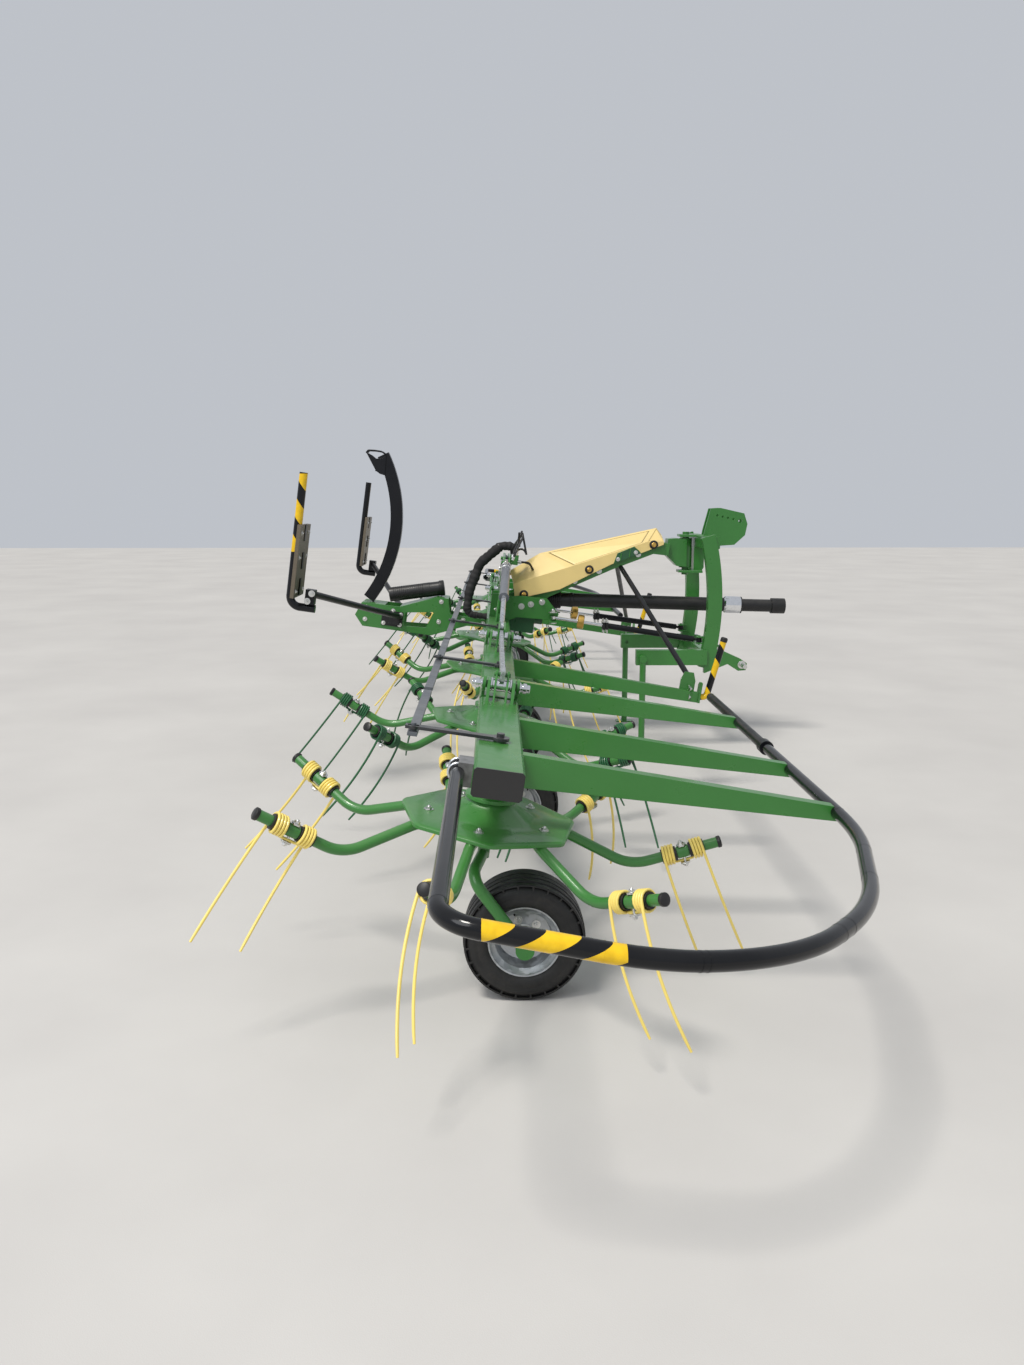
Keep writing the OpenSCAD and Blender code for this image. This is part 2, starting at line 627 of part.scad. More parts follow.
function turned(faces) = [for (f = faces) [f[2], f[1], f[0]]];
module hood() color("khaki") tilted()
    polyhedron(
        points = [for (r = HOOD_ROWS, p = r[0]) [p[0], r[1] * (hood_half - r[2]), p[1] - r[3]]],
        faces = concat(
            [for (k = [0 : hood_rows - 1]) each strip(k, (k + 1) % hood_rows)],
            turned(cap(0)),
            cap(3)
        )
    );

// Frame behind the beam that carries the lights, with its cut under the tie bar
BRACKET = [
    [-75.3, 168], [-75.3, 220], [-320, 220], [-345, 322], [-420, 322], [-660, 224], [-913, 219], [-949, 130],
    [-892, 62], [-430, 62], [-332, 104], [-200, 160]
];
bracket_half = 120;
module rear_bracket() color("forestgreen") tilted() {
    both_sides() difference() {
        side_plate(BRACKET, bracket_half - 8, bracket_half);
        side_plate([[-470, 110], [-430, 220], [-620, 190], [-620, 100]], bracket_half - 10, bracket_half + 2);
    }
    side_plate([[-345, 322], [-420, 322], [-660, 224], [-660, 216], [-420, 314], [-345, 314]],
        -bracket_half, bracket_half);
    side_plate([[-760, 221], [-913, 219], [-913, 211], [-760, 213]], -bracket_half, bracket_half);
    side_plate([[-320, 106], [-328, 106], [-328, 216], [-320, 216]], -bracket_half, bracket_half);
}
module document_tube() color("black") tilted() {
    rod([-746, 0, 282.4], [-390, 0, 380.4], 48);
    rod([-520, 0, 344.6], [-478, 0, 356.2], 49);
}

// Lights: arms, panels and striped tubes on both sides, and the curved post on the rear bracket
panel_y = CENTRE_CARRIER[0];
post_x = -1150;
post_top = 1003;
post_r = 22;
post_low = 290;
post_bend = 55;
module light_arms() color("black") tilted() {
    both_sides() {
        pipe([[-650, bracket_half + 5.4, 150], [-660, 200, 168], [-1045, panel_y, 370]], [60], 19);
        translate([-1066, panel_y - 34, 312.3]) cube([50, 68, 80]);
    }
    translate([-1677, 0, 700]) rotate([90, 30.05, 0]) translate([0, 0, -30])
        rotate_extrude(angle = 62.55) translate([880, 0]) square([78, 60]);
    both_sides() d_strut();
}
module light_panels() color("saddlebrown") tilted() both_sides()
    translate([post_x + post_r + 0.7, panel_y - 141, post_low + post_bend + 1]) cube([20, 282, 387]);
module marker_tubes() color("gold") tilted() both_sides() {
    pipe([[-1010, panel_y, post_low], [post_x, panel_y, post_low], [post_x, panel_y, post_top]],
        [post_bend], post_r);
    pipe([[centre_end + 12, CENTRE_CARRIER[0], 110], [centre_end + 48, CENTRE_CARRIER[0], 110],
        [centre_end + 92, CENTRE_CARRIER[0] - 6, 440]], [28], 17);
}

// Drive shaft in its guard, level, from the gearbox to past the headstock
SHAFT_BACK = [356, 0, 945];
SHAFT_HEAD = [1600, 0, 906];
module drive_shaft() color("black") level() {
    front = [shaft_front, 0, 896];
    rod(SHAFT_BACK - [4.3, 0, 0], [460, 0, 942], 58);
    rod([460, 0, 942], SHAFT_HEAD, 46);
    rod(SHAFT_HEAD, [1690, 0, 903], 56);
    rod([1690, 0, 903], [shaft_front - 90, 0, 898], 42);
    rod([shaft_front - 90, 0, 898], front, 52);
}
module hose_bundle() color("black") tilted()
    pipe([[46, -150, hose_h], [46, -150, hose_h + 78], [-120, -200, hose_h + 60], [-215, -240, 420],
        [-190, -245, 262], [-76, -245, 256]], [50, 70, 120, 50], 26);

// Headstock, level, on a vertical swivel pin
leg_half = 380;
leg_bow = 1700;
leg_mid = [1428, 950];
bar_low_z = 556;
bar_low_h = 98;
bar_back = 925;
stand_x = 965;
stand_z = 600;
stand_pin_r = 11.5;
damper_front = [1345, 340, 709];
top_bore = [1655, 1470];
module headstock() color("forestgreen") level() {
    difference() {
        union() {
            for (z = [1128, 1366]) translate([0, 0, z]) linear_extrude(16)
                polygon([[swivel_x - 50, -50], [swivel_x + 40, -90], [1400, -110], [1400, 110],
                    [swivel_x + 40, 90], [swivel_x - 50, 50]]);
            translate([1352, -leg_half - 20, 1300]) cube([96, 2 * leg_half + 40, 76]);
            side_plate([[1352, 1128], [1352, 1300], [1420, 1300], [1420, 1160], [1400, 1128]], -40, 40);
            both_sides() {
                side_plate([[1400, 1300], [1419, 1410], [1455, 1552], [1520, 1556], [1680, 1520], [1704, 1450],
                    [1690, 1376], [1620, 1312], [1440, 1300]], 32, 44);
            }
        }
        translate([top_bore[0], 60, top_bore[1]]) rotate([90, 0, 0]) cylinder(h = 120, r = top_bore_r);
        for (i = [0 : 3]) translate([1500 + 36 * i, 60, 1506 - 8 * i]) rotate([90, 0, 0]) cylinder(h = 120, r = 7);
    }
    translate([swivel_x, 0, 1112]) cylinder(h = 286, r = 22);
    both_sides() {
        translate([leg_mid[0] - leg_bow, leg_half, leg_mid[1]]) rotate([90, 14.2, 0]) translate([0, 0, -30])
            rotate_extrude(angle = 28.8) translate([leg_bow - 45, 0]) square([90, 60]);
        difference() {
            translate([bar_back, leg_half - 5, bar_low_z]) cube([460, 55, bar_low_h]);
            translate([stand_x, leg_half - 6, stand_z]) rotate([-90, 0, 0]) cylinder(h = 57, r = stand_pin_r + run_gap);
        }
        difference() {
            side_plate([[1370, 660], [1480, 650], [1600, 596], [1646, 566], [1640, 520], [1590, 516], [1520, 560],
                [1370, 500]], leg_half - 12, link_half - 0.3);
            translate([link_pin_x, leg_half - 20, link_pin_z]) rotate([-90, 0, 0])
                cylinder(h = 60, r = link_pin_r + run_gap);
        }
        for (z = [damper_front[2] - 24, damper_front[2] + 16])
            translate([damper_front[0] - 18, damper_front[1] - 22, z]) cube([58, 42, 8]);
        translate(damper_front - [0, 0, 30]) cylinder(h = 60, r = 8);
    }
    translate([1370, -leg_half, 570]) cube([70, 2 * leg_half, 70]);
}
link_pin_x = 1612;
link_pin_z = 556;
link_pin_len = 95;
module link_pins() color("silver") level() both_sides() {
    translate([link_pin_x, link_half + link_pin_len, link_pin_z]) rotate([90, 0, 0])
        cylinder(h = link_pin_len + 40, r = link_pin_r);
    translate([link_pin_x, link_half + 3.7, link_pin_z]) rotate([90, 0, 0]) cylinder(h = 3.7, r = 26);
}
stand_y = leg_half + 71.5;
// The foot stays clear of the lower link's ear when the stand is folded forwards
foot_half = stand_y - link_half - 5.5;
module stand(s) color("forestgreen") level() on_side(s) {
    translate([stand_x, stand_y - 21, stand_z]) rotate([-90, 0, 0]) cylinder(h = 42, r = 24);
    translate([stand_x, stand_y, 6]) cylinder(h = stand_z - 6, r = 20);
    translate([stand_x - 60, stand_y - foot_half, 0]) cube([120, 2 * foot_half, 8]);
    translate([stand_x, leg_half + 10, stand_z]) rotate([-90, 0, 0]) cylinder(h = 62, r = stand_pin_r);
}

// Dampers beside the drawbar: rod on the drawbar's pin, tube towards the headstock
damper_way = unit(damper_front - damper_root);
damper_span = norm(damper_front - damper_root);
module damper_eye(p, hole, outer) translate(p) difference() {
    translate([0, 0, -14]) cylinder(h = 28, r = outer);
    translate([0, 0, -15]) cylinder(h = 30, r = hole);
}
module damper_rod(s) color("silver") level() on_side(s) {
    translate(damper_root - [0, 0, 9]) cylinder(h = 18, r = 20);
    rod(damper_root + damper_way * 12, damper_root + damper_way * 560, 10);
    rod(damper_root + damper_way * 170, damper_root + damper_way * 200, 20);
}
module damper_tube(s) color("black") level() on_side(s) {
    difference() {
        rod(damper_root + damper_way * 330, damper_root + damper_way * (damper_span - 36), 19);
        rod(damper_root + damper_way * 320, damper_root + damper_way * 660, 10 + run_gap);
    }
    difference() {
        rod(damper_root + damper_way * (damper_span - 40), damper_front, 9);
        translate(damper_front - [0, 0, 30]) cylinder(h = 60, r = 12);
    }
    damper_eye(damper_front, 8 + run_gap, 18);
}

centre_beam();
drawbar();
hood();
tower();
gearbox();
rear_bracket();
document_tube();
light_arms();
light_panels();
marker_tubes();
drive_shaft();
hose_bundle();
headstock();
link_pins();
stand(RIGHT);  // stand_r
stand(LEFT);  // stand_l
damper_rod(RIGHT);  // damper_rod_r
damper_tube(RIGHT);  // damper_tube_r
damper_rod(LEFT);  // damper_rod_l
damper_tube(LEFT);  // damper_tube_l
lift_barrel(RIGHT);  // lift_barrel_r
lift_rod(RIGHT);  // lift_rod_r
lift_barrel(LEFT);  // lift_barrel_l
lift_rod(LEFT);  // lift_rod_l
wing_beam(RIGHT);  // wing_beam_r
wing_guard(RIGHT);  // wing_guard_r
fold_link(RIGHT);  // fold_link_r
wing_beam(LEFT);  // wing_beam_l
wing_guard(LEFT);  // wing_guard_l
fold_link(LEFT);  // fold_link_l
tip_beam(RIGHT);  // tip_beam_r
tip_guard(RIGHT);  // tip_guard_r
tip_beam(LEFT);  // tip_beam_l
tip_guard(LEFT);  // tip_guard_l
rotor(1);  // rotor_1
rotor(2);  // rotor_2
rotor(3);  // rotor_3
rotor(4);  // rotor_4
rotor(5);  // rotor_5
rotor(6);  // rotor_6
leg(1);  // leg_1
leg(2);  // leg_2
leg(3);  // leg_3
leg(4);  // leg_4
leg(5);  // leg_5
leg(6);  // leg_6
wheel(1);  // wheel_1
wheel(2);  // wheel_2
wheel(3);  // wheel_3
wheel(4);  // wheel_4
wheel(5);  // wheel_5
wheel(6);  // wheel_6
tie_centre();
tie_wing(RIGHT);  // tie_wing_r
tie_wing(LEFT);  // tie_wing_l
tie_tip(RIGHT);  // tie_tip_r
tie_tip(LEFT);  // tie_tip_l
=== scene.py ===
import math
import random

import bpy
from mathutils import Matrix, Vector


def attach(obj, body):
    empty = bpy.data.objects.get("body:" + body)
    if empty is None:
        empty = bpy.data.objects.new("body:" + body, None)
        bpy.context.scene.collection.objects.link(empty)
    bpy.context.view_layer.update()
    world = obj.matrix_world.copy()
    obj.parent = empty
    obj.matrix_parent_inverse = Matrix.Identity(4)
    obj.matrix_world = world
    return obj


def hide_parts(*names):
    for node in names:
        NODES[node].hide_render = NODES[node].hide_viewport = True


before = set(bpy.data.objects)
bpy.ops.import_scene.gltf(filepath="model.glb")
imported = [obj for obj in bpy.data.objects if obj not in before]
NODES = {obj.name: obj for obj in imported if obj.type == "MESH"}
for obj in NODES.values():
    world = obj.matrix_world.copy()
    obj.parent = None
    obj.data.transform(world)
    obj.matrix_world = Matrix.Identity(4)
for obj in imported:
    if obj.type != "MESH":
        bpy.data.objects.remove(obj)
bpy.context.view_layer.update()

rng = random.Random(7)

# The CAD's two frames: level metres from the rotor axes, and the tilted frame of the beam.
TILT = math.radians(8.3)
ORIGIN_X = 0.4376
PLATE_Z = 0.59
TILTED = Matrix.Translation((-ORIGIN_X, 0, PLATE_Z)) @ Matrix.Rotation(TILT, 4, "Y")
LEVEL = Matrix.Translation((-ORIGIN_X, 0, 0))
# Turns a polygon of x and height into the tilted frame
UPRIGHT = TILTED @ Matrix.Rotation(math.pi / 2, 4, "X")
PITCH = 1.5
ROTOR_Y = {k: (k - 3.5) * PITCH for k in range(1, 7)}
SWEEP = {k: 1 if k % 2 else -1 for k in range(1, 7)}
PHASE = {1: math.radians(39.6), -1: math.radians(34.0)}
SIDES = {"r": -1, "l": 1}


# Camera and light
def camera():
    data = bpy.data.cameras.new("camera")
    data.sensor_fit = "VERTICAL"
    data.sensor_height = 36
    data.lens = 27.06
    data.clip_end = 100
    cam = bpy.data.objects.new("camera", data)
    cam.location = (0.0279 - ORIGIN_X, -6.9598, 1.5914)
    cam.rotation_euler = (math.radians(90 - 9.95), 0, math.radians(-0.84))
    bpy.context.scene.collection.objects.link(cam)
    bpy.context.scene.camera = cam


def area_light(name, place, target, size, power, color):
    data = bpy.data.lights.new(name, "AREA")
    data.shape = "DISK"
    data.size = size
    data.energy = power
    data.color = color
    light = bpy.data.objects.new(name, data)
    light.location = place
    light.rotation_euler = (Vector(target) - Vector(place)).to_track_quat("-Z", "Y").to_euler()
    bpy.context.scene.collection.objects.link(light)


def studio():
    world = bpy.data.worlds.new("sky")
    bpy.context.scene.world = world
    world.use_nodes = True
    background = world.node_tree.nodes["Background"]
    background.inputs["Color"].default_value = (0.86, 0.9, 0.97, 1)
    background.inputs["Strength"].default_value = 0.6
    sun = bpy.data.lights.new("sun", "SUN")
    sun.energy = 2.3
    sun.angle = math.radians(14)
    sun.color = (1.0, 0.96, 0.9)
    lamp = bpy.data.objects.new("sun", sun)
    lamp.rotation_euler = Vector((0.32, 0.3, -0.9)).to_track_quat("-Z", "Y").to_euler()
    bpy.context.scene.collection.objects.link(lamp)
    area_light("fill", (-5, -9, 6), (0, -1, 0.5), 5, 230, (0.95, 0.97, 1.0))
    scene = bpy.context.scene
    scene.view_settings.view_transform = "Standard"
    scene.view_settings.look = "None"
    scene.view_settings.exposure = 0.0


# Materials
def new_material(name):
    m = bpy.data.materials.new(name)
    m.use_nodes = True
    tree = m.node_tree
    shader = tree.nodes["Principled BSDF"]
    return m, tree, shader


def node(tree, kind, **sockets):
    n = tree.nodes.new(kind)
    for key, value in sockets.items():
        n.inputs[key].default_value = value
    return n


def coordinates(tree, scale=(1, 1, 1)):
    tex = tree.nodes.new("ShaderNodeTexCoord")
    mapping = tree.nodes.new("ShaderNodeMapping")
    mapping.inputs["Scale"].default_value = scale
    tree.links.new(tex.outputs["Object"], mapping.inputs["Vector"])
    return mapping.outputs["Vector"]


def noise(tree, vector, scale, detail=3, rough=0.55):
    n = node(tree, "ShaderNodeTexNoise", Scale=scale, Detail=detail, Roughness=rough)
    tree.links.new(vector, n.inputs["Vector"])
    return n.outputs["Fac"]


def ramp(tree, value, stops):
    r = tree.nodes.new("ShaderNodeValToRGB")
    r.color_ramp.elements[0].position, r.color_ramp.elements[0].color = stops[0][0], stops[0][1]
    r.color_ramp.elements[1].position, r.color_ramp.elements[1].color = stops[-1][0], stops[-1][1]
    for place, color in stops[1:-1]:
        e = r.color_ramp.elements.new(place)
        e.color = color
    tree.links.new(value, r.inputs["Fac"])
    return r.outputs["Color"]


DUST = (0.42, 0.37, 0.28, 1)


def rgba(c, f=1.0):
    return (min(1, c[0] * f), min(1, c[1] * f), min(1, c[2] * f), 1)


def grey(v):
    return (v, v, v, 1)


def mix(tree, factor, a, b):
    m = tree.nodes.new("ShaderNodeMix")
    m.data_type = "RGBA"
    for socket, value in ((m.inputs[0], factor), (m.inputs[6], a), (m.inputs[7], b)):
        if isinstance(value, (int, float, tuple)):
            socket.default_value = value
        else:
            tree.links.new(value, socket)
    return m.outputs[2]


def maths(tree, operation, a, b=0.0, clamp=False):
    m = tree.nodes.new("ShaderNodeMath")
    m.operation = operation
    m.use_clamp = clamp
    for socket, value in ((m.inputs[0], a), (m.inputs[1], b)):
        if isinstance(value, (int, float)):
            socket.default_value = value
        else:
            tree.links.new(value, socket)
    return m.outputs[0]


def axis_value(tree, direction, offset=0.0):
    """Distance of a point along a direction in the object's own coordinates, less offset."""
    tex = tree.nodes.new("ShaderNodeTexCoord")
    dot = tree.nodes.new("ShaderNodeVectorMath")
    dot.operation = "DOT_PRODUCT"
    dot.inputs[1].default_value = direction
    tree.links.new(tex.outputs["Object"], dot.inputs[0])
    return maths(tree, "SUBTRACT", dot.outputs["Value"], offset)


def dust_mask(tree, vector, scale=3.0):
    """Thin dust on faces that look up, broken by noise."""
    geometry = tree.nodes.new("ShaderNodeNewGeometry")
    split = tree.nodes.new("ShaderNodeSeparateXYZ")
    tree.links.new(geometry.outputs["Normal"], split.inputs[0])
    up = maths(tree, "MULTIPLY", maths(tree, "MAXIMUM", split.outputs["Z"], 0.0), 0.9)
    cloud = ramp(tree, noise(tree, vector, scale, 6, 0.7), [(0.35, grey(0.0)), (0.75, grey(1.0))])
    return maths(tree, "MULTIPLY", up, cloud, True)


def surface(tree, shader, vector, fine, depth, edge=0.0015):
    """Fine relief, with rounded edges where edge is more than 0."""
    bump = node(tree, "ShaderNodeBump", Strength=1.0, Distance=depth)
    tree.links.new(noise(tree, vector, fine, 4, 0.6), bump.inputs["Height"])
    if edge:
        bevel = tree.nodes.new("ShaderNodeBevel")
        bevel.samples = 4
        bevel.inputs["Radius"].default_value = edge
        tree.links.new(bevel.outputs["Normal"], bump.inputs["Normal"])
    tree.links.new(bump.outputs["Normal"], shader.inputs["Normal"])


def mottled(tree, vector, scale, detail, color, dark=0.9, light=1.08):
    """A colour broken up by soft noise."""
    return ramp(tree, noise(tree, vector, scale, detail),
                [(0.3, rgba(color, dark)), (0.7, rgba(color, light))])


def dusted(tree, vector, base, amount, color=DUST, scale=3.0):
    """A colour with dust on the faces that look up."""
    return mix(tree, maths(tree, "MULTIPLY", dust_mask(tree, vector, scale), amount), base, color)


def roughen(tree, shader, value, low, high, start=0.3, end=0.7):
    """Roughness that follows a noise value from low to high."""
    tree.links.new(ramp(tree, value, [(start, grey(low)), (end, grey(high))]), shader.inputs["Roughness"])


def lacquer(tree, shader, vector, coat, low, high, edge=0.003):
    """Paint's roughness between low and high under a clear coat, with orange peel."""
    roughen(tree, shader, noise(tree, vector, 9, 5, 0.65), low, high, 0.3, 0.75)
    shader.inputs["Coat Weight"].default_value = coat
    shader.inputs["Coat Roughness"].default_value = 0.12
    surface(tree, shader, vector, 420, 0.00012, edge)


def paint(name, color, rough=0.3, coat=0.35, dust=0.16, edge=0.003, gloss=0.5):
    m, tree, shader = new_material(name)
    shader.inputs["Specular IOR Level"].default_value = gloss
    vector = coordinates(tree)
    base = mottled(tree, vector, 2.2, 5, color)
    flecks = ramp(tree, noise(tree, vector, 260, 2), [(0.62, grey(0.0)), (0.8, grey(0.25))])
    base = mix(tree, flecks, base, rgba(color, 1.35))
    tree.links.new(dusted(tree, vector, base, dust), shader.inputs["Base Color"])
    lacquer(tree, shader, vector, coat, rough * 0.8, min(1, rough * 1.5), edge)
    return m


def metal(name, color, rough=0.3, spangle=0.0, brush=None, edge=0.001):
    m, tree, shader = new_material(name)
    shader.inputs["Metallic"].default_value = 1.0
    vector = coordinates(tree, scale=brush or (1, 1, 1))
    low, high = rgba(color, 0.82), rgba(color, 1.1)
    if spangle:
        cells = node(tree, "ShaderNodeTexVoronoi", Scale=spangle)
        tree.links.new(vector, cells.inputs["Vector"])
        split = tree.nodes.new("ShaderNodeSeparateXYZ")
        tree.links.new(cells.outputs["Color"], split.inputs[0])
        value = split.outputs["X"]
    else:
        value = noise(tree, vector, 60, 4)
    tree.links.new(ramp(tree, value, [(0.1, low), (0.9, high)]), shader.inputs["Base Color"])
    roughen(tree, shader, value, rough * 0.75, min(1, rough * 1.35), 0.1, 0.9)
    surface(tree, shader, vector, 500, 0.00008, edge)
    return m


def plastic(name, color, rough=0.5, grain=900, depth=0.0001, dust=0.12, edge=0.002):
    m, tree, shader = new_material(name)
    vector = coordinates(tree)
    base = dusted(tree, vector, mottled(tree, vector, 5, 5, color, 0.8, 1.25), dust, (0.3, 0.27, 0.22, 1), 6)
    tree.links.new(base, shader.inputs["Base Color"])
    roughen(tree, shader, noise(tree, vector, 14, 4), rough * 0.8, min(1, rough * 1.3))
    surface(tree, shader, vector, grain, depth, edge)
    return m


def tyre_rubber():
    m, tree, shader = new_material("tyre_rubber")
    vector = coordinates(tree)
    base = ramp(tree, noise(tree, vector, 12, 6, 0.7), [(0.3, grey(0.005)), (0.8, grey(0.014))])
    soil = ramp(tree, noise(tree, vector, 30, 6, 0.75), [(0.5, grey(0)), (0.8, grey(1))])
    base = mix(tree, maths(tree, "MULTIPLY", soil, 0.11), base, (0.13, 0.11, 0.085, 1))
    tree.links.new(base, shader.inputs["Base Color"])
    roughen(tree, shader, noise(tree, vector, 20, 4), 0.42, 0.68)
    surface(tree, shader, vector, 700, 0.0002, 0.002)
    return m


def striped(name, band, share, twist, shift, start, end, where=None):
    """Yellow bands wound round a tube on glossy black, between the heights or places start and end.

    band is the pitch and share its yellow part. where(tree) can narrow the taped stretch further.
    """
    axis = (1, 0, 0) if twist[2] else (0, 0, 1)
    m, tree, shader = new_material(name)
    vector = coordinates(tree)
    along = axis_value(tree, axis)
    turned = maths(tree, "ADD", axis_value(tree, axis, shift), axis_value(tree, twist))
    wave = maths(tree, "FRACT", maths(tree, "DIVIDE", turned, band))
    yellow = maths(tree, "LESS_THAN", wave, share)
    inside = maths(tree, "MULTIPLY", maths(tree, "GREATER_THAN", along, start),
                   maths(tree, "LESS_THAN", along, end))
    if where:
        inside = where(tree, inside)
    tape = ramp(tree, noise(tree, vector, 40, 4),
                [(0.3, rgba((0.78, 0.48, 0.012), 0.9)), (0.7, (0.86, 0.55, 0.015, 1))])
    black = mottled(tree, vector, 6, 4, (0.0045, 0.005, 0.0065), 0.8, 1.3)
    base = mix(tree, maths(tree, "MULTIPLY", yellow, inside), black, tape)
    tree.links.new(dusted(tree, vector, base, 0.035, (0.35, 0.31, 0.25, 1)), shader.inputs["Base Color"])
    roughen(tree, shader, noise(tree, vector, 18, 4), 0.14, 0.24)
    shader.inputs["Specular IOR Level"].default_value = 0.22
    shader.inputs["Coat Weight"].default_value = 0.22
    shader.inputs["Coat Roughness"].default_value = 0.08
    surface(tree, shader, vector, 380, 0.00004, 0)
    return m


def marker_side(tree, inside):
    """The rear markers are taped on their outer half only, the front ones all round."""
    width = maths(tree, "ABSOLUTE", axis_value(tree, (0, 1, 0)), 0.0)
    outer = maths(tree, "GREATER_THAN", width, 1.398)
    front = maths(tree, "GREATER_THAN", axis_value(tree, (1, 0, 0)), 0.3)
    return maths(tree, "MAXIMUM", maths(tree, "MULTIPLY", inside, outer), front)


def two_tone(name, color_a, color_b, axis, offset, rough=0.3):
    """color_b beyond the offset along axis, color_a before it."""
    m, tree, shader = new_material(name)
    vector = coordinates(tree)
    past = maths(tree, "GREATER_THAN", axis_value(tree, axis, offset), 0.0)
    before = mottled(tree, vector, 2.2, 5, color_a)
    base = mix(tree, past, before, mottled(tree, vector, 4, 5, color_b, 0.8, 1.25))
    tree.links.new(dusted(tree, vector, base, 0.16), shader.inputs["Base Color"])
    lacquer(tree, shader, vector, 0.3, rough * 0.8, rough * 1.5)
    return m


def tip_paint(name, side):
    """Green beam with a black cap over its end face and a galvanised clamp block on its back."""
    m, tree, shader = new_material(name)
    vector = coordinates(tree)
    across = (0, side, 0)
    capped = maths(tree, "GREATER_THAN", axis_value(tree, across, TIP_END - 0.005), 0.0)
    behind = maths(tree, "LESS_THAN", axis_value(tree, along_tilted, x_offset - 0.0765), 0.0)
    outside = maths(tree, "GREATER_THAN", axis_value(tree, across, 3.95), 0.0)
    clamped = maths(tree, "MULTIPLY", behind, outside)
    green = mottled(tree, vector, 2.2, 5, GREEN)
    galvanised = ramp(tree, noise(tree, vector, 45, 4), [(0.3, grey(0.08)), (0.7, grey(0.17))])
    base = mix(tree, clamped, green, galvanised)
    base = mix(tree, capped, base, (0.008, 0.008, 0.009, 1))
    tree.links.new(dusted(tree, vector, base, 0.12), shader.inputs["Base Color"])
    lacquer(tree, shader, vector, 0.3, 0.24, 0.44)
    return m


def floor_material():
    m, tree, shader = new_material("floor")
    vector = coordinates(tree)
    base = ramp(tree, noise(tree, vector, 0.8, 4),
                [(0.3, (0.5, 0.485, 0.465, 1)), (0.7, (0.56, 0.545, 0.52, 1))])
    tree.links.new(base, shader.inputs["Base Color"])
    shader.inputs["Roughness"].default_value = 0.85
    surface(tree, shader, vector, 300, 0.0003, 0)
    return m


GREEN = (0.032, 0.185, 0.028)
DARK_GREEN = (0.012, 0.09, 0.03)
TIP_END = 4.11
up_tilted = (math.sin(TILT), 0, math.cos(TILT))
along_tilted = (math.cos(TILT), 0, -math.sin(TILT))
x_offset = -PLATE_Z * math.sin(TILT) - ORIGIN_X * math.cos(TILT)
h_offset = PLATE_Z * math.cos(TILT) - ORIGIN_X * math.sin(TILT)
M = {
    "green": paint("green_paint", GREEN),
    "dark_green": paint("dark_green_paint", DARK_GREEN, 0.34),
    "hood": paint("hood_yellow", (0.82, 0.62, 0.24), 0.34, 0.3, 0.1),
    "tine": paint("tine_yellow", (0.9, 0.7, 0.17), 0.36, 0.25, 0.03, 0.0008),
    "tine_green": paint("tine_green", (0.012, 0.105, 0.035), 0.36, 0.25, 0.06, 0.0008),
    "black": paint("satin_black", (0.006, 0.0065, 0.009), 0.34, 0.12, 0.03, gloss=0.2),
    "anthracite": paint("anthracite", (0.095, 0.105, 0.12), 0.38, 0.1, 0.12),
    "barrel": paint("grey_barrel", (0.12, 0.13, 0.15), 0.34, 0.15, 0.1),
    "plastic": plastic("black_plastic", (0.007, 0.007, 0.008), 0.42),
    "sleeve": plastic("woven_sleeve", (0.01, 0.01, 0.011), 0.8, 1400, 0.0006),
    "zinc": metal("zinc", (0.62, 0.64, 0.66), 0.36, 90),
    "bolt": metal("bolt_zinc", (0.72, 0.72, 0.7), 0.3),
    "rim": metal("galvanised_rim", (0.5, 0.52, 0.54), 0.4, 55),
    "chrome": metal("chrome", (0.82, 0.83, 0.85), 0.1),
    "brass": metal("brass_clip", (0.72, 0.45, 0.12), 0.3),
    "tyre": tyre_rubber(),
    "bow": striped("bow_stripes", 0.1608, 0.53, (0, 0, -2.0), 0.0076, -0.003 - ORIGIN_X, 0.2687 - ORIGIN_X),
    "post": striped("post_stripes", 0.2294, 0.5, (1.6, 0, 0), -0.8555, PLATE_Z + 0.7425, PLATE_Z + 1.152,
                    marker_side),
    "tip": tip_paint("tip_green", -1),
    "tip_l": tip_paint("tip_green_l", 1),
    "leg": two_tone("leg_green", GREEN, (0.02, 0.022, 0.025), up_tilted, h_offset + 0.25, 0.34),
    "red": plastic("red_lens", (0.55, 0.01, 0.01), 0.16, 300, 0.00005, 0.05),
    "amber": plastic("amber_lens", (0.8, 0.22, 0.01), 0.16, 300, 0.00005, 0.05),
    "panel": metal("panel_back", (0.2, 0.17, 0.13), 0.42, 0, (1, 1, 6)),
}


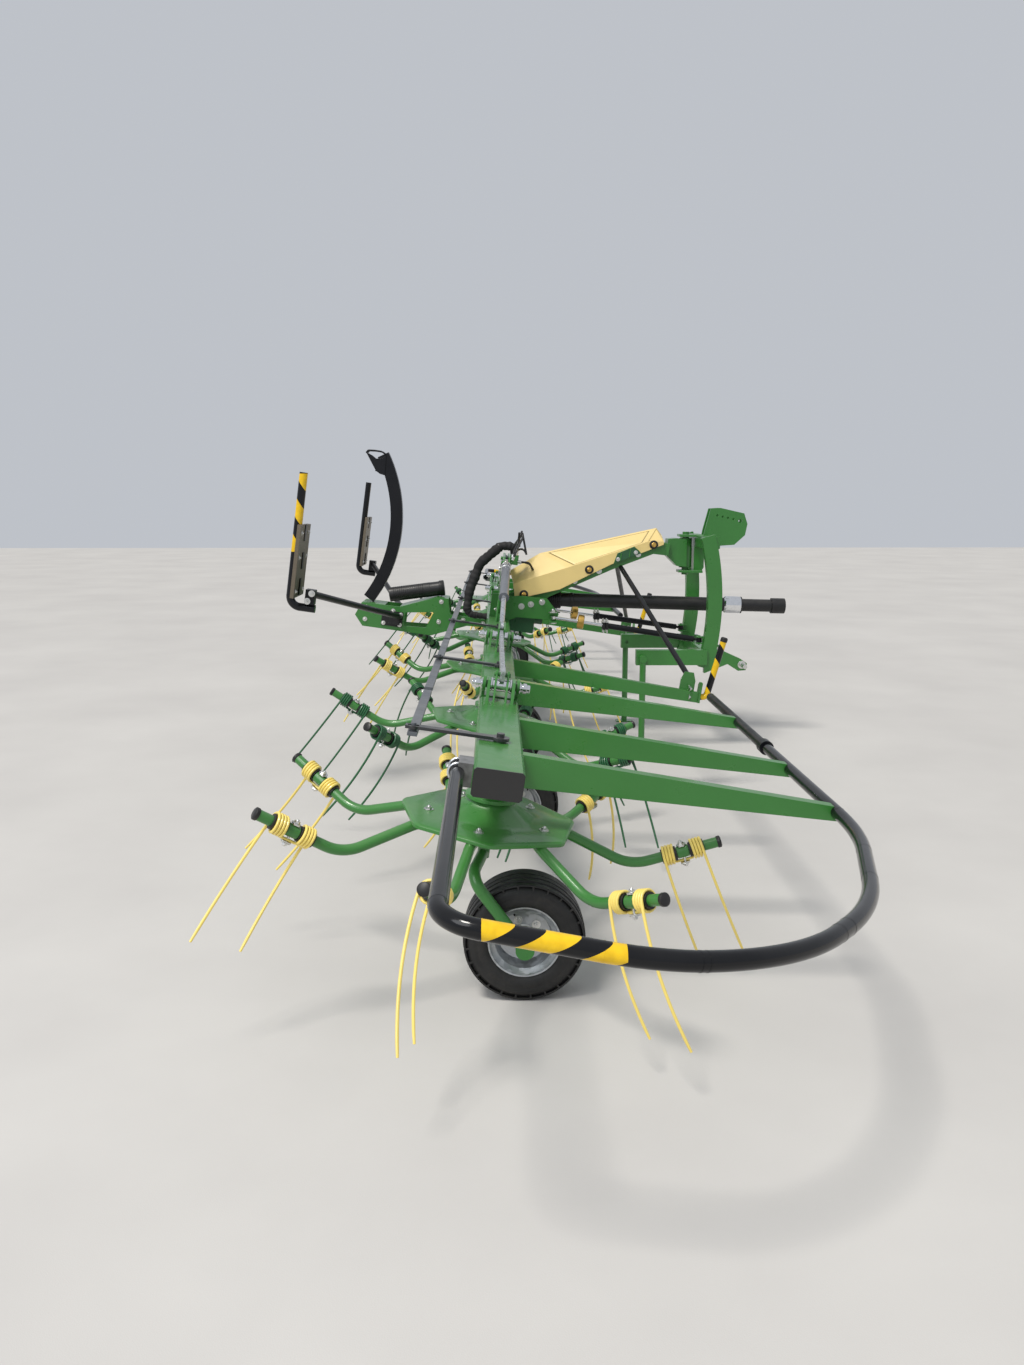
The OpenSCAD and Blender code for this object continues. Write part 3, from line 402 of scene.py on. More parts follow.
# Mesh making
class Shape:
    """Collects vertices and faces in local metres."""

    def __init__(self):
        self.v = []
        self.f = []

    def add(self, verts, faces, matrix=None):
        n = len(self.v)
        self.v += [matrix @ Vector(p) for p in verts] if matrix else [Vector(p) for p in verts]
        self.f += [[i + n for i in face] for face in faces]

    def tube(self, path, radius, sides=20, caps=True, matrix=None):
        path = [Vector(p) for p in path]
        count = len(path)
        radii = radius if isinstance(radius, (list, tuple)) else [radius] * count
        ways = []
        for i in range(count):
            a = path[max(i - 1, 0)]
            b = path[min(i + 1, count - 1)]
            ways.append((b - a).normalized())
        side = ways[0].orthogonal().normalized()
        verts, faces = [], []
        for i in range(count):
            side = (side - ways[i] * side.dot(ways[i])).normalized()
            other = ways[i].cross(side)
            for k in range(sides):
                t = 2 * math.pi * k / sides
                verts.append(path[i] + (side * math.cos(t) + other * math.sin(t)) * radii[i])
        for i in range(count - 1):
            for k in range(sides):
                j = (k + 1) % sides
                faces.append([i * sides + k, i * sides + j, (i + 1) * sides + j, (i + 1) * sides + k])
        if caps:
            faces.append(list(range(sides))[::-1])
            faces.append([(count - 1) * sides + k for k in range(sides)])
        self.add(verts, faces, matrix)

    def lathe(self, profile, matrix=None, steps=48):
        """profile is a list of (radius, height), turned about local z. It may be a closed loop."""
        verts, faces = [], []
        n = len(profile)
        for k in range(steps):
            t = 2 * math.pi * k / steps
            verts += [(r * math.cos(t), r * math.sin(t), h) for r, h in profile]
        closed = profile[0][0] > 1e-6
        for k in range(steps):
            j = (k + 1) % steps
            for i in range(n if closed else n - 1):
                i2 = (i + 1) % n
                faces.append([k * n + i, j * n + i, j * n + i2, k * n + i2])
        self.add(verts, faces, matrix)

    def prism(self, points, low, high, matrix=None):
        """points is a polygon in local x and y."""
        n = len(points)
        verts = [(x, y, low) for x, y in points] + [(x, y, high) for x, y in points]
        faces = [list(range(n))[::-1], [n + i for i in range(n)]]
        faces += [[i, (i + 1) % n, n + (i + 1) % n, n + i] for i in range(n)]
        self.add(verts, faces, matrix)

    def box(self, low, high, matrix=None, chamfer=0.0):
        (x0, y0, z0), (x1, y1, z1) = low, high
        c = chamfer
        if c:
            self.prism([(x0 + c, y0), (x1 - c, y0), (x1, y0 + c), (x1, y1 - c), (x1 - c, y1), (x0 + c, y1),
                        (x0, y1 - c), (x0, y0 + c)], z0, z1, matrix)
        else:
            self.prism([(x0, y0), (x1, y0), (x1, y1), (x0, y1)], z0, z1, matrix)

    def bolt(self, place, way, r):
        """A washer, hexagon head and short stud, standing on place along way."""
        m = aim(place, way)
        self.lathe([(0, 0), (r * 1.7, 0), (r * 1.7, r * 0.22), (0, r * 0.22)], m, 20)
        hexagon = [(r * 1.02 * math.cos(math.pi * k / 3 + 0.3), r * 1.02 * math.sin(math.pi * k / 3 + 0.3))
                   for k in range(6)]
        self.prism(hexagon, 0, r * 0.95, m)
        self.lathe([(0, 0), (r * 0.5, 0), (r * 0.5, r * 1.35), (r * 0.42, r * 1.45), (0, r * 1.45)], m, 12)

    def finish(self, name, material, body, smooth=38):
        return place(name, make_mesh(self, name, material, False, smooth), body)


def make_mesh(shape, name, material, flip=False, smooth=38):
    """A shaded mesh of a shape, mirrored in local y where flip is set."""
    mesh = bpy.data.meshes.new(name)
    verts = [tuple(p) for p in shape.v]
    faces = shape.f
    if flip:
        verts = [(x, -y, z) for x, y, z in verts]
        faces = [f[::-1] for f in faces]
    mesh.from_pydata(verts, [], faces)
    mesh.validate()
    mesh.materials.append(M[material])
    mesh.shade_smooth()
    mesh.set_sharp_from_angle(angle=math.radians(smooth))
    return mesh


def place(name, mesh, body, matrix=None):
    o = bpy.data.objects.new(name, mesh)
    bpy.context.scene.collection.objects.link(o)
    if matrix:
        o.matrix_world = matrix
    bpy.context.view_layer.update()
    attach(o, body)
    return o


def aim(place, way):
    """A matrix with its origin at place and its z axis along way."""
    z = Vector(way).normalized()
    return Matrix.Translation(Vector(place)) @ z.to_track_quat("Z", "Y").to_matrix().to_4x4()


def rounded(points, bends, step=8):
    """A polyline with its inner corners rounded at the given radii."""
    points = [Vector(p) for p in points]
    out = [points[0]]
    for i in range(1, len(points) - 1):
        a = (points[i] - points[i - 1]).normalized()
        b = (points[i + 1] - points[i]).normalized()
        turn = a.angle(b)
        r = bends[i - 1]
        if turn < 1e-3 or r <= 0:
            out.append(points[i])
            continue
        back = r * math.tan(turn / 2)
        start = points[i] - a * back
        inward = (b - a * b.dot(a)).normalized()
        centre = start + inward * r
        n = max(2, int(math.degrees(turn) / step) + 1)
        for k in range(n + 1):
            t = turn * k / n
            out.append(centre - inward * r * math.cos(t) + a * r * math.sin(t))
    out.append(points[-1])
    return out


def mm(points):
    return [tuple(c / 1000 for c in p) for p in points]


# Rotors
ARM = [Vector(p) for p in mm([(100, 87, -18), (233, 54, -18), (473, 121, -111), (738, 163, 13)])]
ARM_WAY = (ARM[3] - ARM[2]).normalized()
ARM_R = 0.017
WIRE = 0.00475
INNER_COIL, OUTER_COIL = 0.132, 0.224
COIL_GAP = 0.008
COIL_TURNS = 3.75
COIL_PITCH = 0.01
TURN_STEPS = 16
SPOOL_HALF = 0.025
# The sleeve between the coils, and how far it stays from their middles
SLEEVE_R = ARM_R + 0.003
SLEEVE_BACK = 0.027
# Twice the bow of a tine, as the middle point of its curve
TINE_BOW = 0.042
TINE_STEPS = 12
TINES = [(INNER_COIL, Vector((0.747, 0.198, -0.398))), (OUTER_COIL, Vector((0.890, 0.225, -0.359)))]
ARMS = 7
PLATE_R = 0.268
PLATE_CORNER = 0.046
PLATE_BOLTS, PLATE_BOLT_R = 5, 0.198


def coil_and_tine(shape, matrix, middle_at, tip, hand):
    """A wound coil of wire that leaves into its tine. Gives the coil's free end back."""
    middle = ARM[2] + ARM_WAY * middle_at
    fall = tip - middle
    fall = (fall - ARM_WAY * fall.dot(ARM_WAY)).normalized()
    aside = fall.cross(ARM_WAY).normalized()
    ring = ARM_R + COIL_GAP + WIRE
    path = []
    steps = int(COIL_TURNS * TURN_STEPS)
    for k in range(steps + 1):
        t = k / steps
        angle = 2 * math.pi * COIL_TURNS * t
        rise = (0.5 - t) * COIL_TURNS * COIL_PITCH * hand
        path.append(middle + ARM_WAY * rise + (aside * math.cos(angle) - fall * math.sin(angle)) * ring)
    out = path[::-1]
    top = out[-1]
    knee = (top + tip) / 2 - Vector((0, TINE_BOW, 0))
    for k in range(1, TINE_STEPS + 1):
        t = k / TINE_STEPS
        out.append(top * (1 - t) ** 2 + knee * 2 * t * (1 - t) + tip * t * t)
    radii = [WIRE] * (len(out) - 1) + [WIRE * 0.8]
    shape.tube(out, radii, 8, True, matrix)
    return out[0]


def rotor_meshes():
    """Green pressing and arms, wire, and trim, for anticlockwise sweep about local z."""
    green, wire, trim, caps = Shape(), Shape(), Shape(), Shape()
    arm_path = rounded(ARM, [0.11, 0.15], 5)
    half = math.pi / ARMS

    def outline(r, steps=5):
        points = []
        for i in range(ARMS):
            a = (i + 0.5) * 2 * half
            c = (r - PLATE_CORNER) / math.cos(half)
            for k in range(steps + 1):
                b = a + (k / steps - 0.5) * 2 * half
                points.append((c * math.cos(a) + PLATE_CORNER * math.cos(b),
                               c * math.sin(a) + PLATE_CORNER * math.sin(b)))
        return points

    rings = []
    for r, z in [(PLATE_R - 0.006, -0.013), (PLATE_R, -0.013), (PLATE_R, -0.003), (PLATE_R - 0.004, 0.001),
                 (PLATE_R - 0.012, 0.003)]:
        rings.append([(x, y, z) for x, y in outline(r)])
    count = len(rings[0])
    # Round rings over the hub and back under it
    for r, z in [(0.19, 0.0035), (0.158, 0.004), (0.146, 0.008), (0.1, 0.037), (0.094, 0.0405), (0.08, 0.052),
                 (0.077, 0.06), (0.0203, 0.06), (0.0203, -0.04), (0.058, -0.04), (0.066, -0.004),
                 (0.15, -0.0035)]:
        rings.append([(r * math.cos(math.atan2(y, x)), r * math.sin(math.atan2(y, x)), z)
                      for x, y in outline(PLATE_R)])
    rings.append([(x, y, -0.0032) for x, y in outline(PLATE_R - 0.006)])
    verts = [p for ring in rings for p in ring]
    faces = []
    for i in range(len(rings)):
        j = (i + 1) % len(rings)
        for k in range(count):
            m = (k + 1) % count
            faces.append([i * count + k, i * count + m, j * count + m, j * count + k])
    green.add(verts, faces)
    end = ARM[3]
    clamp = ARM[2] + ARM_WAY * (INNER_COIL + OUTER_COIL) / 2
    sleeve = [ARM[2] + ARM_WAY * (INNER_COIL + SLEEVE_BACK), ARM[2] + ARM_WAY * (OUTER_COIL - SLEEVE_BACK)]
    fall = Vector((0, 0, -1))
    fall = (fall - ARM_WAY * fall.dot(ARM_WAY)).normalized()
    for i in range(ARMS):
        turn = Matrix.Rotation(i * 2 * half, 4, "Z")
        green.tube(arm_path, ARM_R, 22, True, turn)
        green.tube(sleeve, SLEEVE_R, 22, True, turn)
        bridge = [coil_and_tine(wire, turn, at, tip, hand) for (at, tip), hand in zip(TINES, (-1, 1))]
        wire.tube(bridge, WIRE, 8, True, turn)
        caps.tube([end - ARM_WAY * 0.002, end, end + ARM_WAY * 0.009, end + ARM_WAY * 0.012],
                  [ARM_R + 0.001, ARM_R + 0.0025, ARM_R + 0.0025, ARM_R - 0.002], 20, True, turn)
        base = turn.to_3x3() @ (clamp + fall * (ARM_R + COIL_GAP + 2 * WIRE))
        down = turn.to_3x3() @ fall
        top = turn.to_3x3() @ (clamp - fall * SLEEVE_R)
        trim.box((-0.011, -0.015, 0), (0.011, 0.015, 0.004), aim(base, down), 0.003)
        trim.tube([top, base + down * 0.002], 0.005, 12)
        trim.bolt(base + down * 0.004, down, 0.009)
        trim.box((-0.012, -0.012, -0.0005), (0.012, 0.012, 0.0035), aim(top, -down), 0.003)
        trim.bolt(top - down * 0.0035, -down, 0.0095)
        for coil_at in (INNER_COIL, OUTER_COIL):
            coil = ARM[2] + ARM_WAY * coil_at
            spool = [coil - ARM_WAY * SPOOL_HALF, coil + ARM_WAY * SPOOL_HALF]
            caps.tube(spool, ARM_R + COIL_GAP - 0.001, 20, True, turn)
    for k in range(PLATE_BOLTS):
        a = math.radians(5.5 + 360 / PLATE_BOLTS * k)
        trim.bolt((PLATE_BOLT_R * math.cos(a), PLATE_BOLT_R * math.sin(a), 0.0034), (0, 0, 1), 0.0095)
    return green, wire, trim, caps


def rotors():
    green, wire, trim, caps = rotor_meshes()
    sets = {}
    for sweep, suffix in ((1, "a"), (-1, "b")):
        flip = sweep < 0
        sets[sweep] = [
            ("plate", make_mesh(green, f"rotor_plate_{suffix}", "green", flip), "green"),
            ("tines", make_mesh(wire, f"rotor_tines_{suffix}", "tine_green" if flip else "tine", flip),
             "dark_green" if flip else "yellow"),
            ("trim", make_mesh(trim, f"rotor_trim_{suffix}", "bolt", flip), "zinc"),
            ("caps", make_mesh(caps, f"rotor_caps_{suffix}", "plastic", flip), "black_plastic"),
        ]
    for k in range(1, 7):
        m = TILTED @ Matrix.Translation((0, ROTOR_Y[k], 0)) @ Matrix.Rotation(PHASE[SWEEP[k]], 4, "Z")
        for n, (part, mesh, slot) in enumerate(sets[SWEEP[k]]):
            o = place(f"rotor_{k}_{part}", mesh, f"rotor_{k}", m)
            if n == 0:
                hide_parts(f"rotor_{k}")


# Wheels
WHEEL_X, WHEEL_OUT, TYRE_R, TYRE_W = 0.1135, 0.04, 0.2, 0.165
LUGS = 24
HUB_BOLTS, HUB_BOLT_R = 5, 0.052


def wheel_meshes():
    tyre, rim, hub, dark = Shape(), Shape(), Shape(), Shape()
    w = TYRE_W / 2
    profile = [(0.112, -w + 0.024), (0.121, -w + 0.009), (0.132, -w + 0.003), (0.148, -w + 0.0003),
               (0.151, -w + 0.0016), (0.156, -w + 0.0016), (0.159, -w + 0.0008), (0.172, -w + 0.004),
               (0.184, -w + 0.012), (0.1885, -w + 0.02)]
    ribs = [-0.375, -0.19, 0.0, 0.19, 0.375]
    edge = 0.011
    for g in ribs:
        y = g * TYRE_W
        crown = 0.1999 - 0.004 * (g / 0.375) ** 2
        profile += [(crown - 0.006, y - edge - 0.002), (crown, y - edge), (crown, y + edge),
                    (crown - 0.006, y + edge + 0.002)]
    profile += [(r, -h) for r, h in profile[:10]][::-1]
    profile += [(0.109, w - 0.03), (0.109, -w + 0.03)]
    tyre.lathe(profile, None, 96)
    for side in (-1, 1):
        for n in range(LUGS):
            m = Matrix.Rotation(2 * math.pi * n / LUGS, 4, "Z")
            tyre.prism([(0.178, -0.0025), (0.1945, -0.004), (0.1945, 0.004), (0.178, 0.0025)],
                       side * (w - 0.0105) - 0.003, side * (w - 0.0105) + 0.003, m)
    rim.lathe([(0.034, -0.004), (0.034, -0.0145), (0.07, -0.0105), (0.078, -0.016), (0.088, -0.034),
               (0.0955, -0.036), (0.096, -w + 0.03), (0.108, -w + 0.022), (0.1135, -w + 0.0135),
               (0.1185, -w + 0.0125), (0.1185, -w + 0.015), (0.1145, -w + 0.026), (0.1115, -w + 0.03),
               (0.1115, w - 0.03), (0.1145, w - 0.026), (0.1185, w - 0.015), (0.1185, w - 0.0125),
               (0.1135, w - 0.0135), (0.108, w - 0.022), (0.096, w - 0.03), (0.094, 0.02), (0.086, 0.006),
               (0.074, 0.003), (0.034, 0.0035)], None, 72)
    hub.lathe([(0.0122, -0.0515), (0.026, -0.0515), (0.0295, -0.048), (0.0298, -0.018), (0.0335, -0.0155),
               (0.0335, 0.0035), (0.0298, 0.006), (0.0295, 0.048), (0.026, 0.0515), (0.0122, 0.0515)],
              None, 40)
    for n in range(HUB_BOLTS):
        t = 2 * math.pi * n / HUB_BOLTS
        x, y = HUB_BOLT_R * math.cos(t), HUB_BOLT_R * math.sin(t)
        hub.bolt((x, y, 0.0036), (0, 0, 1), 0.0085)
        dark.lathe([(0, 0), (0.006, 0), (0.006, 0.004), (0, 0.004)], Matrix.Translation((x, y, -0.0175)), 12)
    dark.tube([(0.09, 0.0, 0.016), (0.0905, 0.0, 0.03), (0.086, 0.0, 0.042)], [0.0042, 0.004, 0.003], 12)
    return tyre, rim, hub, dark


def wheels():
    tyre, rim, hub, dark = wheel_meshes()
    meshes = [("tyre", make_mesh(tyre, "tyre", "tyre"), "tyre"),
              ("rim", make_mesh(rim, "rim", "rim"), "zinc"),
              ("hub", make_mesh(hub, "hub", "bolt"), "steel"),
              ("valve", make_mesh(dark, "valve", "plastic"), "black_plastic")]
    for k in range(1, 7):
        out = -1 if k < 3.5 else 1
        m = LEVEL @ Matrix.Translation((WHEEL_X, ROTOR_Y[k] + out * WHEEL_OUT, TYRE_R)) @ \
            Matrix.Rotation(-out * math.pi / 2, 4, "X") @ Matrix.Rotation(rng.uniform(0, 6), 4, "Z")
        for n, (part, mesh, slot) in enumerate(meshes):
            o = place(f"wheel_{k}_{part}", mesh, f"wheel_{k}", m)
            if n == 0:
                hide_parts(f"wheel_{k}")


# CAD nodes that stay, with their materials
def finishes():
    table = {
        "green": ["centre_beam", "drawbar", "tower", "rear_bracket", "headstock", "stand_r", "stand_l",
                  "wing_beam_r", "wing_beam_l"],
        "dark_green": ["gearbox"],
        "hood": ["hood"],
        "black": ["light_arms", "damper_tube_r", "damper_tube_l", "wing_guard_r", "wing_guard_l"],
        "barrel": ["lift_barrel_r", "lift_barrel_l"],
        "plastic": ["document_tube", "drive_shaft"],
        "sleeve": ["hose_bundle"],
        "panel": ["light_panels"],
        "post": ["marker_tubes"],
        "bolt": ["link_pins"],
        "chrome": ["damper_rod_r", "damper_rod_l"],
        "zinc": ["fold_link_r", "fold_link_l", "lift_rod_r", "lift_rod_l"],
        "bow": ["tip_guard_r", "tip_guard_l"],
        "anthracite": ["tie_centre", "tie_wing_r", "tie_wing_l", "tie_tip_r", "tie_tip_l"],
        "leg": [f"leg_{k}" for k in range(1, 7)],
        "tip": ["tip_beam_r"],
        "tip_l": ["tip_beam_l"],
    }
    for material, names in table.items():
        for n in names:
            o = NODES[n]
            o.data.materials.clear()
            o.data.materials.append(M[material])
            o.data.shade_smooth()
            o.data.set_sharp_from_angle(angle=math.radians(32))


# Small parts on the CAD nodes
def til(x, y, h):
    return TILTED @ Vector((x / 1000, y / 1000, h / 1000))


def tilt_way(x, y, h):
    return TILTED.to_3x3() @ Vector((x, y, h))


def lev(x, y, z):
    return LEVEL @ Vector((x / 1000, y / 1000, z / 1000))


def hose(shape, points, r, bends=0.06, sides=12):
    path = rounded(points, [bends] * (len(points) - 2), 14)
    shape.tube(path, r, sides)


def ferrule(shape, place, way, r):
    """A crimped hose end with its hexagon."""
    m = aim(place, way)
    shape.lathe([(0, 0), (r * 1.1, 0), (r * 1.1, r * 0.9), (r * 1.5, r), (r * 1.5, r * 3), (r * 1.2, r * 3.3),
                 (0, r * 3.3)], m, 18)
    hexagon = [(r * 1.75 * math.cos(math.pi * k / 3), r * 1.75 * math.sin(math.pi * k / 3)) for k in range(6)]
    shape.prism(hexagon, -r * 0.6, r * 0.9, m)


def hinge_trim():
    """Bright pins with nuts at both hinges of each side."""
    for side, s in SIDES.items():
        for n, (out, body) in enumerate(((1500, f"wing_body_{side}"), (3000, f"tip_body_{side}"))):
            pin = Shape()
            for a in (-1, 1):
                start = til(a * 73, s * out, 298)
                m = aim(start, tilt_way(a, 0, 0))
                pin.lathe([(0, 0), (0.022, 0), (0.022, 0.004), (0.0156, 0.005), (0.0156, 0.013),
                           (0.0205, 0.0135), (0.0205, 0.027), (0.0156, 0.029), (0.0156, 0.0395),
                           (0.0142, 0.0412), (0, 0.0412)], m, 28)
            sleeve = aim(til(-41, s * out, 298), tilt_way(1, 0, 0))
            pin.lathe([(0, 0), (0.0275, 0), (0.0275, 0.006), (0.0243, 0.0075), (0.0243, 0.0745),
                       (0.0275, 0.076), (0.0275, 0.082), (0, 0.082)], sleeve, 32)
            pin.finish(f"hinge_pin_{side}_{n + 1}", "chrome", body)


def hood_fasteners():
    dark, bronze = Shape(), Shape()
    for x, z in ((206, 991), (639, 1154), (1063, 1317)):
        for s in (-1, 1):
            local = TILTED.inverted() @ lev(x, s * 150, z)
            spot = til(local.x * 1000, s * 150.4, local.z * 1000)
            m = aim(spot, (0, s, 0))
            dark.lathe([(0, 0), (0.027, 0), (0.029, 0.002), (0.028, 0.006), (0.019, 0.009), (0, 0.009)],
                       m, 32)
            bronze.lathe([(0, 0.009), (0.015, 0.009), (0.0155, 0.012), (0.011, 0.0145), (0, 0.0145)], m, 24)
            bronze.box((-0.013, -0.0035, 0.014), (0.013, 0.0035, 0.018), m)
    dark.finish("hood_rubber_rings", "plastic", "frame")
    bronze.finish("hood_turn_locks", "brass", "frame")


def frame_bolts():
    zinc = Shape()
    for s in (-1, 1):
        for x, h in ((140, 350), (200, 372), (270, 398)):
            zinc.bolt(til(x, s * 204.3, h), (0, s, 0), 0.012)
        for x, h in ((620, 648), (860, 795), (470, 560)):
            zinc.bolt(til(x, s * 118.3, h), (0, s, 0), 0.011)
        for x, h in ((-95, 192), (-230, 196), (-390, 296), (-390, 160), (-880, 190), (-880, 110),
                     (-700, 190)):
            zinc.bolt(til(x, s * 120.3, h), (0, s, 0), 0.009)
        for x, h in ((-20.8, 560), (-20.8, 300)):
            zinc.bolt(til(x, s * 150, h), tilt_way(-1, 0, 0), 0.011)
        for y in (1378, 1422):
            zinc.bolt(til(1077.3, s * y, 104), tilt_way(1, 0, 0), 0.009)
            zinc.bolt(til(1077.3, s * y, 150), tilt_way(1, 0, 0), 0.009)
        for h in (380, 560, 690):
            zinc.bolt(til(-1107.6, s * 1300, h), tilt_way(1, 0, 0), 0.007)
            zinc.bolt(til(-1107.6, s * 1500, h), tilt_way(1, 0, 0), 0.007)
    for y in (-80, 80):
        for h in (190, 300):
            zinc.bolt(til(245.5, y, h), tilt_way(1, 0, 0), 0.01)
    for k in range(6):
        a = math.pi * k / 3
        zinc.bolt(til(160 + 50 * math.cos(a), 50 * math.sin(a), 368.3), tilt_way(0, 0, 1), 0.008)
    zinc.finish("frame_bolts", "bolt", "frame")


def hydraulics():
    """Valve block fittings and small hoses at the top of the tower."""
    steel, rubber = Shape(), Shape()
    for n in range(4):
        y = -182 + 21 * n
        steel.lathe([(0, 0), (0.011, 0), (0.011, 0.01), (0.0085, 0.012), (0.0085, 0.024), (0, 0.024)],
                    aim(til(58, y, 676), tilt_way(0, 0, 1)), 16)
        ferrule(steel, til(58, y, 702), tilt_way(0, 0, 1), 0.0065)
        ferrule(steel, til(76, y, 634), tilt_way(1, 0, 0), 0.0065)
    for s in (-1, 1):
        runs = [
            [til(58, -182 + 42 * (s > 0), 716), til(60, -150 + 40 * s, 800), til(66, 150 * s, 770),
             til(40, 285 * s, 712), til(33, 300 * s, 668)],
            [til(58, -161 + 42 * (s > 0), 716), til(74, -140 + 40 * s, 836), til(86, 190 * s, 800),
             til(52, 350 * s, 716), til(36, 350 * s, 656)],
        ]
        for run in runs:
            hose(rubber, run, 0.0068, 0.05)
            ferrule(steel, run[-1] + (run[-1] - run[-2]).normalized() * -0.012, run[-1] - run[-2], 0.0062)
        hose(rubber, [til(92, -182 + 42 * (s > 0), 634), til(150, -150, 640), til(210, 60 * s, 560),
                      til(150, 105 * s, 420)], 0.0068, 0.06)
    steel.finish("hose_fittings", "bolt", "frame")
    rubber.finish("small_hoses", "plastic", "frame")


def sleeve_folds():
    """A woven sleeve over the hose bundle, with its slack folds and ties."""
    path = rounded([til(46, -150, 676), til(40, -150, 730), til(-50, -160, 722), til(-170, -195, 590),
                    til(-214, -228, 400), til(-212, -245, 252), til(-76, -245, 256)],
                   [0.04, 0.07, 0.12, 0.25, 0.05], 5)
    fine = []
    for a, b in zip(path, path[1:]):
        n = max(1, int((b - a).length / 0.006))
        fine += [a.lerp(b, i / n) for i in range(n)]
    fine.append(path[-1])
    radii = []
    for i in range(len(fine)):
        t = i / (len(fine) - 1)
        folds = 0.0014 * math.sin(i * 1.1) + 0.0016 * math.sin(i * 0.37 + 1) + 0.001 * math.sin(i * 0.19)
        radii.append(0.021 + 0.011 * math.sin(math.pi * min(1, t * 1.15)) ** 0.6 + folds)
    shape = Shape()
    shape.tube(fine, radii, 28)
    o = shape.finish("woven_hose_sleeve", "sleeve", "frame", smooth=80)
    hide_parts("hose_bundle")
    ties = Shape()
    for at in (0.05, 0.24, 0.93):
        i = int(at * (len(fine) - 2))
        way = (fine[i + 1] - fine[i]).normalized()
        r = radii[i]
        ties.lathe([(r - 0.002, -0.004), (r + 0.0022, -0.0035), (r + 0.0022, 0.0035), (r - 0.002, 0.004)],
                   aim(fine[i], way), 28)
    ties.finish("hose_ties", "plastic", "frame")


def lift_cylinders():
    for side, s in SIDES.items():
        a, b = til(0, 280 * s, 620), til(0, 1620 * s, 360)
        way = (b - a).normalized()
        ring = Shape()
        for at in (0.075, 0.15):
            ring.lathe([(0.0272, 0), (0.0315, 0.002), (0.0315, 0.012), (0.0272, 0.014)],
                       aim(a + way * at, way), 32)
        port = a + way * 0.11
        up = Vector((0, 0, 1))
        up = (up - way * up.dot(way)).normalized()
        ring.lathe([(0, 0), (0.013, 0), (0.013, 0.014), (0.009, 0.016), (0.009, 0.026), (0, 0.026)],
                   aim(port + up * 0.026, up), 18)
        ring.finish(f"lift_rings_{side}", "bolt", f"lift_barrel_{side}")


def lights():
    for side, s in SIDES.items():
        lamp, red, amber, strut = Shape(), Shape(), Shape(), Shape()
        base = til(-1128.4, s * 1400, 560)
        back = tilt_way(-1, 0, 0)
        axes = Matrix((tilt_way(0, 1, 0), tilt_way(0, 0, 1), back)).transposed().to_4x4()
        m = Matrix.Translation(base) @ axes
        lamp.box((0.045, -0.045, 0), (0.132, 0.045, 0.02), m, 0.006)
        red.box((0.05, -0.04, 0.0195), (0.127, 0.006, 0.0235), m, 0.004)
        amber.box((0.05, 0.009, 0.0195), (0.127, 0.04, 0.0235), m, 0.004)
        lamp.finish(f"lamp_case_{side}", "plastic", "frame")
        red.finish(f"lamp_red_{side}", "red", "frame")
        amber.finish(f"lamp_amber_{side}", "amber", "frame")
        for h in (400, 540, 690):
            m2 = aim(til(-1107.5, s * 1400, h), tilt_way(1, 0, 0))
            strut.box((-0.02, -0.045, 0), (0.02, 0.045, 0.004), m2, 0.004)
            strut.finish(f"panel_straps_{side}", "black", "frame")


def canister():
    a, b = til(-746, 0, 282.4), til(-390, 0, 380.4)
    way = (b - a).normalized()
    shape = Shape()
    for k in range(16):
        at = 0.03 + k * 0.013
        shape.lathe([(0.0478, 0), (0.0493, 0.0015), (0.0493, 0.0045), (0.0478, 0.006)],
                    aim(a + way * at, way), 40)
    shape.lathe([(0.0478, 0), (0.0525, 0.003), (0.0525, 0.028), (0.05, 0.033), (0.03, 0.0345), (0, 0.0345)],
                aim(b - way * 0.03, way), 40)
    shape.finish("canister_ribs", "plastic", "frame")


def shaft_guard():
    bell, ribs = Shape(), Shape()
    m = aim(lev(1600, 0, 906), lev(1690, 0, 903) - lev(1600, 0, 906))
    bell.lathe([(0.0465, -0.03), (0.0565, -0.022), (0.0575, 0.0), (0.0575, 0.06), (0.0555, 0.088),
                (0.0465, 0.094)], m, 48)
    bell.finish("shaft_bell", "chrome", "frame")
    back = aim(lev(360, 0, 944.6), lev(460, 0, 942) - lev(360, 0, 945))
    for k in range(7):
        ribs.lathe([(0.0575, 0), (0.0635, 0.003), (0.0635, 0.006), (0.0575, 0.009)],
                   back @ Matrix.Translation((0, 0, 0.006 + 0.0135 * k)), 40)
    for x in (520, 1500):
        ribs.lathe([(0.0455, 0), (0.049, 0.003), (0.049, 0.022), (0.0455, 0.025)],
                   aim(lev(x, 0, 906 + 36 * (1600 - x) / 1140), lev(1600, 0, 906) - lev(460, 0, 942)), 40)
    ribs.finish("shaft_boot_ribs", "plastic", "frame")


def struts():
    """Black paint on the stays from the drawbar to the centre carriers, and their bolts."""
    for side, s in SIDES.items():
        shape, bolts = Shape(), Shape()
        a, b = til(760, 118 * s, 694), til(1068, 1363 * s, 210)
        way = (b - a).normalized()
        shape.tube([a + way * 0.03, b - way * 0.04], 0.0155, 28)
        shape.finish(f"stay_tube_{side}", "black", "frame")
        bolts.bolt(til(1048, s * 1370, 150), (0, -s, 0), 0.011)
        bolts.bolt(til(1090, s * 1370, 150), (0, -s, 0), 0.011)
        bolts.finish(f"stay_bolts_{side}", "bolt", "frame")


